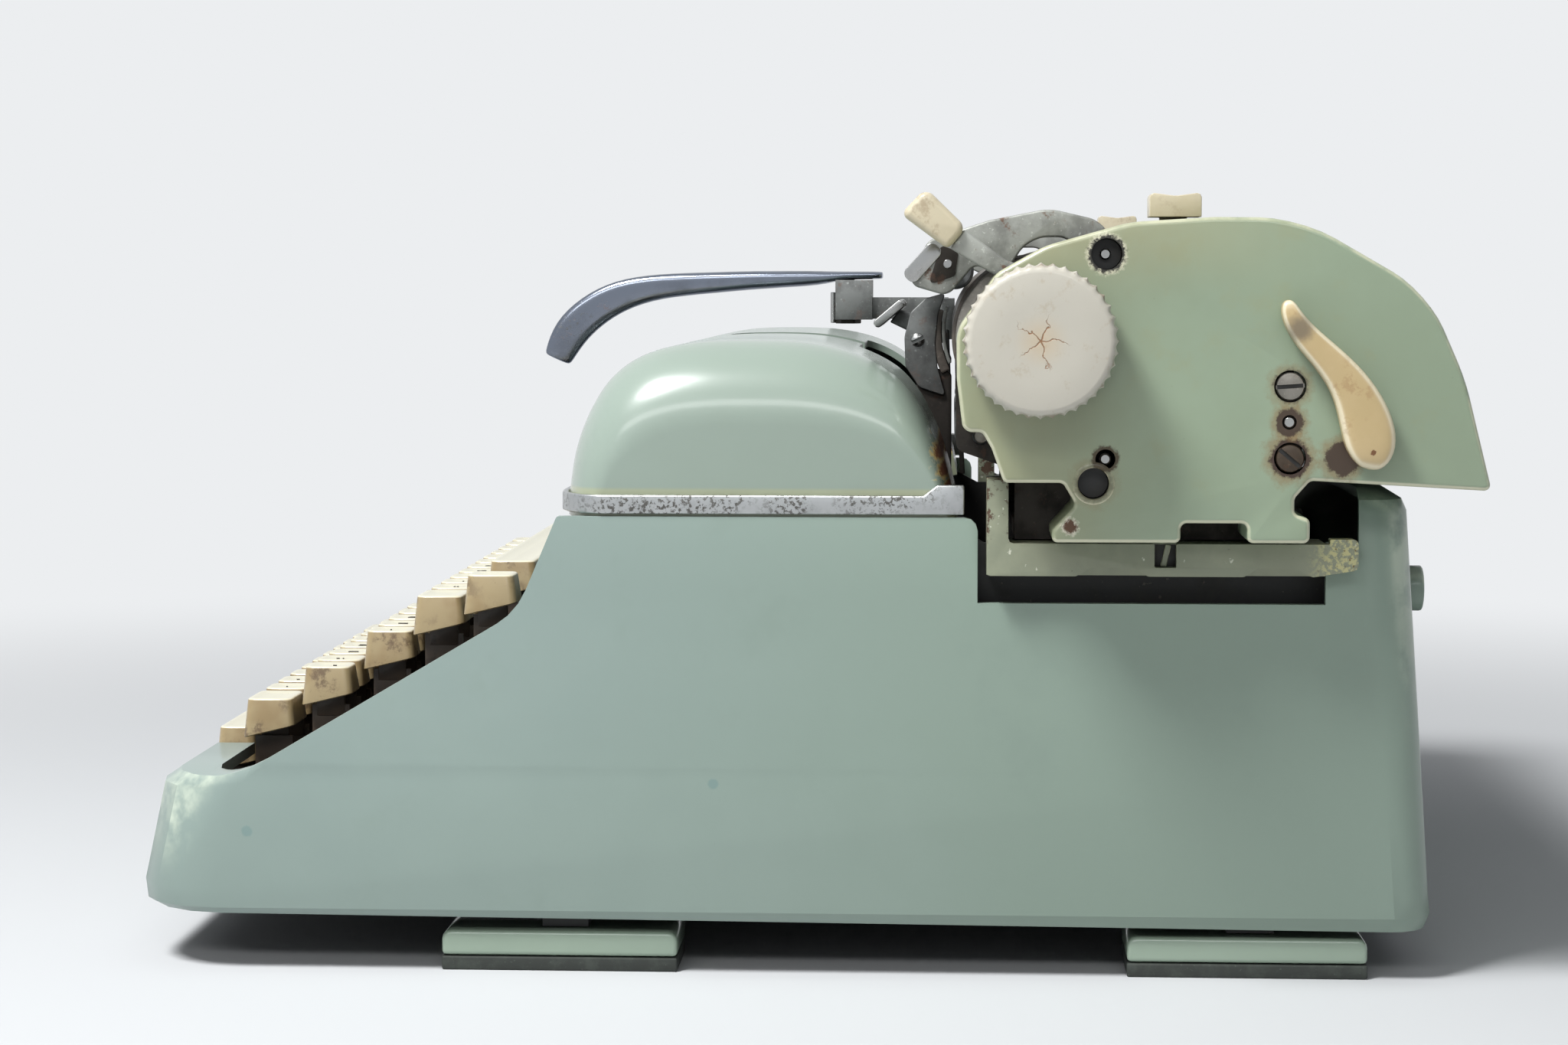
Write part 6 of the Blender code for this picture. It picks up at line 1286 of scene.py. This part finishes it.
def make_line_lever():
    pivot = joint_place("line_space_lever_turn")
    low = middle_of("platen_roller").z + LEVER_TOP - LEVER_DROP
    places = [
        Vector((pivot.y - along * LEVER_LENGTH, low + up * LEVER_DROP))
        for along, up, _, _ in LINE_LEVER_SHARES
    ]
    stations = []
    for index, (_, _, tall, wide) in enumerate(LINE_LEVER_SHARES):
        along = heading(places, index)
        up = Vector((0, -along.y, along.x)) * tall * LEVER_DROP
        over = Vector((wide * LEVER_LENGTH, 0, 0))
        stations.append(((pivot.x, *places[index]), over, up))
        if index in (0, len(places) - 1):
            rounding = places[index] + along * (LEVER_ROUNDING if index else -LEVER_ROUNDING)
            stations.insert(len(stations) if index else 0, ((pivot.x, *rounding), over * 0.7, up * 0.85))
    smoothed(finished(
        "line_lever", swept(stations, 20, 0.6), "lever", "line_space_lever", "line_space_lever", smooth=180,
    ))


BOLT_RADIUS = 5.4 * MM
ROD_RADIUS = 1.1 * MM


def make_line_bracket():
    pivot = joint_place("line_space_lever_turn")
    points = [point.co for point in frame["nodes"]["line_space_bracket"].data.vertices]
    front = min(point.y for point in points)
    foot = min(point.z for point in points if point.y < pivot.y)
    bracket = rounded(copied("line_space_bracket"), 0.6 * MM)
    finished("line_bracket", bracket, "zinc", "carriage", "line_space_bracket")
    bolt = bmesh.new()
    bmesh.ops.create_cone(
        bolt, cap_ends=True, segments=6, radius1=BOLT_RADIUS, radius2=BOLT_RADIUS, depth=5.5 * MM,
    )
    bmesh.ops.translate(bolt, verts=bolt.verts, vec=(pivot.x, pivot.y, foot + 1.1 * MM))
    finished("bracket_bolt", rounded(bolt, 0.5 * MM), "dark", "carriage")
    rod_place = (pivot.x, front - ROD_RADIUS)
    rod = pin((*rod_place, foot - 1.4 * MM), (*rod_place, foot + 11 * MM), ROD_RADIUS, 0.2 * MM)
    finished("bracket_rod", rod, "bright", "carriage")


GUIDE_NEAR = 7 * MM
GUIDE_FAR = 29 * MM
GUIDE_BAND = (27.2 * MM, 28.4 * MM)
GUIDE_ANGLES = (radians(203), radians(163))
GUIDE_BAR_OFFSET = Vector((-46.2, 5.8)) * MM
GUIDE_BAR_TILT = radians(40)
GUIDE_SHEET = 2.4 * MM


def platen_guard(near, far, band, angles):
    """A curved sheet that stands round the platen from one X to another."""
    centre = middle_of("platen_roller")
    (inner, outer), (lower, upper) = band, angles
    sheet = bmesh.new()
    section = ((near, inner), (far, inner), (far, outer), (near, outer))
    face = sheet.faces.new([
        sheet.verts.new((x, centre.y + reach * cos(lower), centre.z + reach * sin(lower)))
        for x, reach in section
    ])
    bmesh.ops.spin(sheet, geom=[face], cent=centre, axis=ACROSS, angle=upper - lower, steps=24)
    bmesh.ops.recalc_face_normals(sheet, faces=sheet.faces)
    return sheet


def make_card_guides():
    """Two curved fingers that hold the card to the platen, each with a bright bar on its arm."""
    platen = middle_of("platen_roller")
    low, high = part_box("card_guides")
    front = platen.y - GUIDE_BAND[1]
    band = rounded(platen_guard(GUIDE_NEAR, GUIDE_FAR, GUIDE_BAND, GUIDE_ANGLES), 0.25 * MM, 2, 60)
    finished("guide_bands", paired(band), "grey", "body", "card_guides")
    place = platen.yz + GUIDE_BAR_OFFSET
    section = bar_corners(place, GUIDE_BAR_TILT, 12.5 * MM, 3.0 * MM, 1.4 * MM)
    finished("guide_bars", paired(slab(section, GUIDE_NEAR, GUIDE_FAR, 0.4 * MM)), "bright", "body")
    arm = [
        (place.x, place.y - 3 * MM, 0), (front + 0.6 * MM, platen.z - 6 * MM, 2 * MM),
        (front + 0.6 * MM, platen.z + 3 * MM, 2 * MM), (place.x + 3 * MM, place.y + MM, 0),
    ]
    knee, rear = platen.z - 25 * MM, high.y - GUIDE_SHEET
    leg = [
        (rear, low.z, 0), (high.y, low.z, 0), (high.y, knee, 4 * MM),
        (front + GUIDE_SHEET, place.y - 6 * MM, 2 * MM), (front + 0.6 * MM, platen.z, 0),
        (rear, knee, 3 * MM),
    ]
    arms = paired(
        slab(arm, GUIDE_NEAR + 1.2 * MM, GUIDE_NEAR + 6.2 * MM, 0.5 * MM),
        slab(leg, 18 * MM, 26 * MM, 0.4 * MM),
    )
    foot = block((-26 * MM, rear, low.z), (26 * MM, high.y, low.z + 6 * MM), 0.4 * MM)
    finished("guide_arms", joined(arms, foot), "zinc", "body")


HOLDER_NEAR = 14 * MM
HOLDER_FAR = 29 * MM
HOLDER_BAND = (28.6 * MM, 31.8 * MM)
HOLDER_ANGLES = (radians(207), radians(166))
HOLDER_PLATE_CORNERS = (
    (-27.0, -22.0, 1.0), (-36.0, -19.0, 3.0), (-40.6, -12.0, 3.0), (-41.0, -2.0, 6.0), (-39.0, 6.2, 2.0),
    (-34.0, 11.0, 1.5), (-27.0, 13.0, 1.0), (-29.6, 6.0, 0.0), (-30.6, -4.0, 0.0), (-29.8, -12.0, 0.0),
)


def make_card_holder():
    """A curved guard in front of the right card guide, with its end plate and screw."""
    platen = middle_of("platen_roller")
    low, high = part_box("card_guides")
    guard = platen_guard(HOLDER_NEAR, HOLDER_FAR, HOLDER_BAND, HOLDER_ANGLES)
    finished("card_guard", rounded(guard, 0.5 * MM, 2, 60), "platen", "body")
    corners = [(platen.y + a * MM, platen.z + b * MM, r * MM) for a, b, r in HOLDER_PLATE_CORNERS]
    plate = slab(corners, HOLDER_FAR - 1.6 * MM, HOLDER_FAR + 0.4 * MM, 0.4 * MM)
    rear = high.y - GUIDE_SHEET
    arm = slab(
        [
            (rear, low.z, 0), (high.y, low.z, 0), (high.y, platen.z - 14 * MM, 2 * MM),
            (platen.y - 33 * MM, platen.z - 12 * MM, MM), (platen.y - 38 * MM, platen.z - 20 * MM, 2 * MM),
            (platen.y - 31 * MM, platen.z - 46 * MM, 4 * MM), (rear, platen.z - 54 * MM, 2 * MM),
        ], HOLDER_FAR - 9 * MM, HOLDER_FAR - MM, 0.4 * MM,
    )
    rail = block((20 * MM, rear, low.z), (HOLDER_FAR - MM, high.y, low.z + 6 * MM), 0.4 * MM)
    finished("card_holder_plate", plate, "zinc", "body")
    finished("card_holder_arm", joined(arm, rail), "dark", "body")
    screw = (platen.y - 36.5 * MM, platen.z - 3 * MM)
    head, _ = screw_head(screw, HOLDER_FAR - MM, HOLDER_FAR + 1.4 * MM, 2.4 * MM, radians(25))
    finished("card_holder_screw", head, "bright", "body")


# Keyboard

ROW_LEGENDS = {
    "key_row_1": "ZXCVBNM,.", "key_row_2": "ASDFGJKL;'", "key_row_3": "QWERTYUIOP-",
    "key_row_4": "234567890-=", "strike_key": "H",
}
KEY_PITCH = 19 * MM
CAP_WIDTH = 15.8 * MM
CAP_DEPTH = 16.5 * MM
CAP_HEIGHTS = (12.5 * MM, 8.5 * MM)
CAP_DISH = 0.55 * MM
LONG_CAP_STEMS = (-0.85, 0.85)
LONG_CAPS = {"space_bar": (13.5 * MM, 14 * MM, 11.2 * MM)}
LEGEND_SIZE = 4.6 * MM


def key_cap(middle, front, top, width, depth, heights):
    """A tapered cap with a slanted underside, rounded corners, a raised rim and a dished top."""
    cap = bmesh.new()
    bmesh.ops.create_cube(cap, size=1)
    bmesh.ops.scale(cap, verts=cap.verts, vec=(width, depth, heights[0]))
    bmesh.ops.translate(cap, verts=cap.verts, vec=(middle, front + depth / 2, top - heights[0] / 2))
    upper = [point for point in cap.verts if point.co.z > top - MM]
    rear = [point for point in cap.verts if point.co.z < top - MM and point.co.y > front + depth / 2]
    bmesh.ops.scale(
        cap, verts=upper, vec=(1 - 2.4 * MM / width, 1 - 2.4 * MM / depth, 1),
        space=Matrix.Translation((-middle, -front - depth / 2, 0)),
    )
    bmesh.ops.translate(cap, verts=rear, vec=(0, 0, heights[0] - heights[1]))
    posts = [edge for edge in cap.edges if abs(edge.verts[0].co.z - edge.verts[1].co.z) > 5 * MM]
    eased(cap, posts, 2.6 * MM, 4)
    roof = max(cap.faces, key=lambda face: face.calc_center_median().z)
    eased(cap, list(roof.edges), 0.7 * MM, 3)
    roof = max(cap.faces, key=lambda face: (round(face.calc_center_median().z / TINY), face.calc_area()))
    for inward, drop in ((0.8, 0.0), (0.5, 0.25), (1.2, 0.5), (1.6, 0.25)):
        roof = bmesh.ops.extrude_discrete_faces(cap, faces=[roof])["faces"][0]
        centre = roof.calc_center_median()
        wide, long = (max(abs(point.co[i] - centre[i]) for point in roof.verts) for i in (0, 1))
        narrower = (1 - inward * MM / wide, 1 - inward * MM / long, 1)
        bmesh.ops.scale(cap, verts=roof.verts, vec=narrower, space=Matrix.Translation(-centre))
        bmesh.ops.translate(cap, verts=roof.verts, vec=(0, 0, -drop * CAP_DISH))
    foot = min(cap.faces, key=lambda face: face.normal.z)
    eased(cap, list(foot.edges), 0.3 * MM, 1)
    bmesh.ops.recalc_face_normals(cap, faces=cap.faces)
    return cap


def legend(letter, place):
    """A generic letter as a thin mesh that lies on its key."""
    text = bpy.data.curves.new("legend", "FONT")
    text.body = letter
    text.size = LEGEND_SIZE
    text.extrude = 0.2 * MM
    text.align_x = "CENTER"
    text.align_y = "CENTER"
    text.resolution_u = 3
    holder = placed("legend", text)
    graph = bpy.context.evaluated_depsgraph_get()
    solid = bmesh.new()
    mesh = bpy.data.meshes.new_from_object(holder.evaluated_get(graph))
    solid.from_mesh(mesh)
    bpy.data.meshes.remove(mesh)
    bpy.data.objects.remove(holder)
    bpy.data.curves.remove(text)
    bmesh.ops.remove_doubles(solid, verts=solid.verts, dist=TINY / 10)
    bmesh.ops.translate(solid, verts=solid.verts, vec=place)
    return solid


def cap_middles(node):
    """Where the caps of a keyboard piece stand, from left to right."""
    low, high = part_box(node)
    count = max(1, round((high.x - low.x - CAP_WIDTH) / KEY_PITCH) + 1)
    if not node.startswith("key_row"):
        return [(low.x + high.x) / 2]
    places = [low.x + CAP_WIDTH / 2 + index * KEY_PITCH for index in range(count)]
    strike = middle_of("strike_key").x
    return [x for x in places if node != "key_row_2" or abs(x - strike) > KEY_PITCH / 2]


def cap_front(node):
    """The front edge of a cap, found among the points at its top."""
    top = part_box(node)[1].z
    points = [point.co for point in frame["nodes"][node].data.vertices]
    return min(point.y for point in points if point.z > top - 14 * MM)


def make_keyboard_piece(node, finish="key"):
    """The CAD piece cut off under its caps, and finer caps, stems and legends on top of it."""
    body = BODY_OF[node]
    low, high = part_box(node)
    front, top = cap_front(node), high.z
    depth, *heights = LONG_CAPS.get(node, (CAP_DEPTH, *CAP_HEIGHTS))
    middles = cap_middles(node)
    width = CAP_WIDTH if node.startswith("key_row") else high.x - low.x
    levers = copied(node)
    cut = bmesh.ops.bisect_plane(
        levers, geom=levers.verts[:] + levers.edges[:] + levers.faces[:],
        plane_co=(0, 0, top - heights[0] - 0.3 * MM), plane_no=(0, 0, 1), clear_outer=True,
    )["geom_cut"]
    bmesh.ops.holes_fill(levers, edges=[item for item in cut if isinstance(item, bmesh.types.BMEdge)])
    finished(f"{node}_levers", levers, "stem", body, node)
    caps, stems, legends = [], [], []
    for index, middle in enumerate(middles):
        caps.append(key_cap(middle, front, top, width, depth, heights))
        for share in (LONG_CAP_STEMS if node in ("space_bar", "tab_bar") else (0,)):
            x = middle + share * width / 2
            stems.append(block(
                (x - 0.9 * MM, front + depth / 2 - 4.5 * MM, top - heights[0] - 4 * MM),
                (x + 0.9 * MM, front + depth / 2 + 4.5 * MM, top - heights[1] + 2 * MM), 0.3 * MM, 2,
            ))
        letters = ROW_LEGENDS.get(node, "")
        if index < len(letters):
            legends.append(legend(letters[index], (middle, front + depth / 2, top - 0.42 * MM)))
    finished(f"{node}_caps", joined(*caps), finish, body)
    finished(f"{node}_stems", joined(*stems), "stem", body)
    if legends:
        finished(f"{node}_legends", joined(*legends), "ink", body)


def make_keyboard():
    for node in frame["nodes"]:
        if node.startswith("key_row") or node in ("space_bar", "tab_bar") or node.endswith("_key"):
            make_keyboard_piece(node, "brown" if node == "shift_lock_key" else "key")
        elif node.startswith("shift_key"):
            make_keyboard_piece(node)


TRAY_SLOT_SHARES = (0.4825, 0.216)
TAB_CORNERS = ((-1.4, -3.2), (0.4, -3.4), (1.8, 3.0), (0.2, 3.2))


def make_tray_fittings():
    """A black backing behind each tray's slot as painted shade seen through the slot, with a bent tab in it.
    """
    low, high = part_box("side_tray_right")
    along, up = TRAY_SLOT_SHARES
    y, z = low.y + (high.y - low.y) * along, low.z + (high.z - low.z) * up
    corners = [(y + a * MM, z + b * MM, 0.4 * MM) for a, b in TAB_CORNERS]
    for name, side in SIDES:
        # painted shade: a black plate behind the slot stands for the dark seen through it
        backing = block(
            (high.x - 5.4 * MM, y - 3.4 * MM, z - 4 * MM),
            (high.x - 3.6 * MM, y + 3.4 * MM, z + 3.2 * MM), 0.3 * MM, 2,
        )
        finished(f"tray_slot_shade_{name}", on_side(backing, side), "black", "body")
        tab = slab(corners, high.x - 4 * MM, high.x - 2.2 * MM, 0.3 * MM)
        finished(f"tray_tab_{name}", on_side(tab, side), "tray", "body")


# The pieces whose CAD shape is right

def make_dressed_copies():
    """These get their edges eased, by the width in millimetres."""
    for node, width, finish in (
        ("body_shell", 0.8, "body"), ("cover_trim", 0.5, "trim"), ("side_tray_right", 0.8, "tray"),
        ("side_tray_left", 0.8, "tray"), ("rear_cover", 0.4, "cover"), ("rear_cap", 0.8, "body"),
        ("margin_button_right", 0.9, "ivory"), ("margin_button_left", 0.9, "ivory"),
    ):
        finished(f"{node}_dressed", rounded(copied(node), width * MM), finish, BODY_OF[node], node)
    for node in frame["nodes"]:
        if node.startswith("foot_"):
            shoe = node.startswith("foot_shoe")
            solid = rounded(copied(node), (1.4 if shoe else 0.6) * MM)
            finished(f"{node}_dressed", solid, "foot" if shoe else "pad", BODY_OF[node], node)


def finish_frame_nodes():
    """CAD nodes that stay as they are take their finish in place."""
    chosen = {
        "base_frame": "black", "bottom_plate": "black", "key_lever_shaft": "steel",
        "spring_drum": "steel", "type_segment": "steel", "type_bars": "bright",
        "strike_type_bar": "bright", "cover_hinge_rod": "steel", "platen_shaft": "steel",
    }
    for name, node in frame["nodes"].items():
        for place in node.material_slots:
            place.material = FINISHES[chosen.get(name, "dark")]


make_studio()
make_light()
make_camera()
make_hood()
for name, side in SIDES:
    make_end_cover(name, side)
    make_cover_fittings(name, side)
    make_knob(name, side)
    make_comma_lever(name, side)
make_paper_release()
make_bail()
make_platen()
make_feed_rollers()
make_front_rollers()
make_line_lever()
make_line_bracket()
make_card_guides()
make_card_holder()
make_tray_fittings()
make_keyboard()
make_dressed_copies()
finish_frame_nodes()
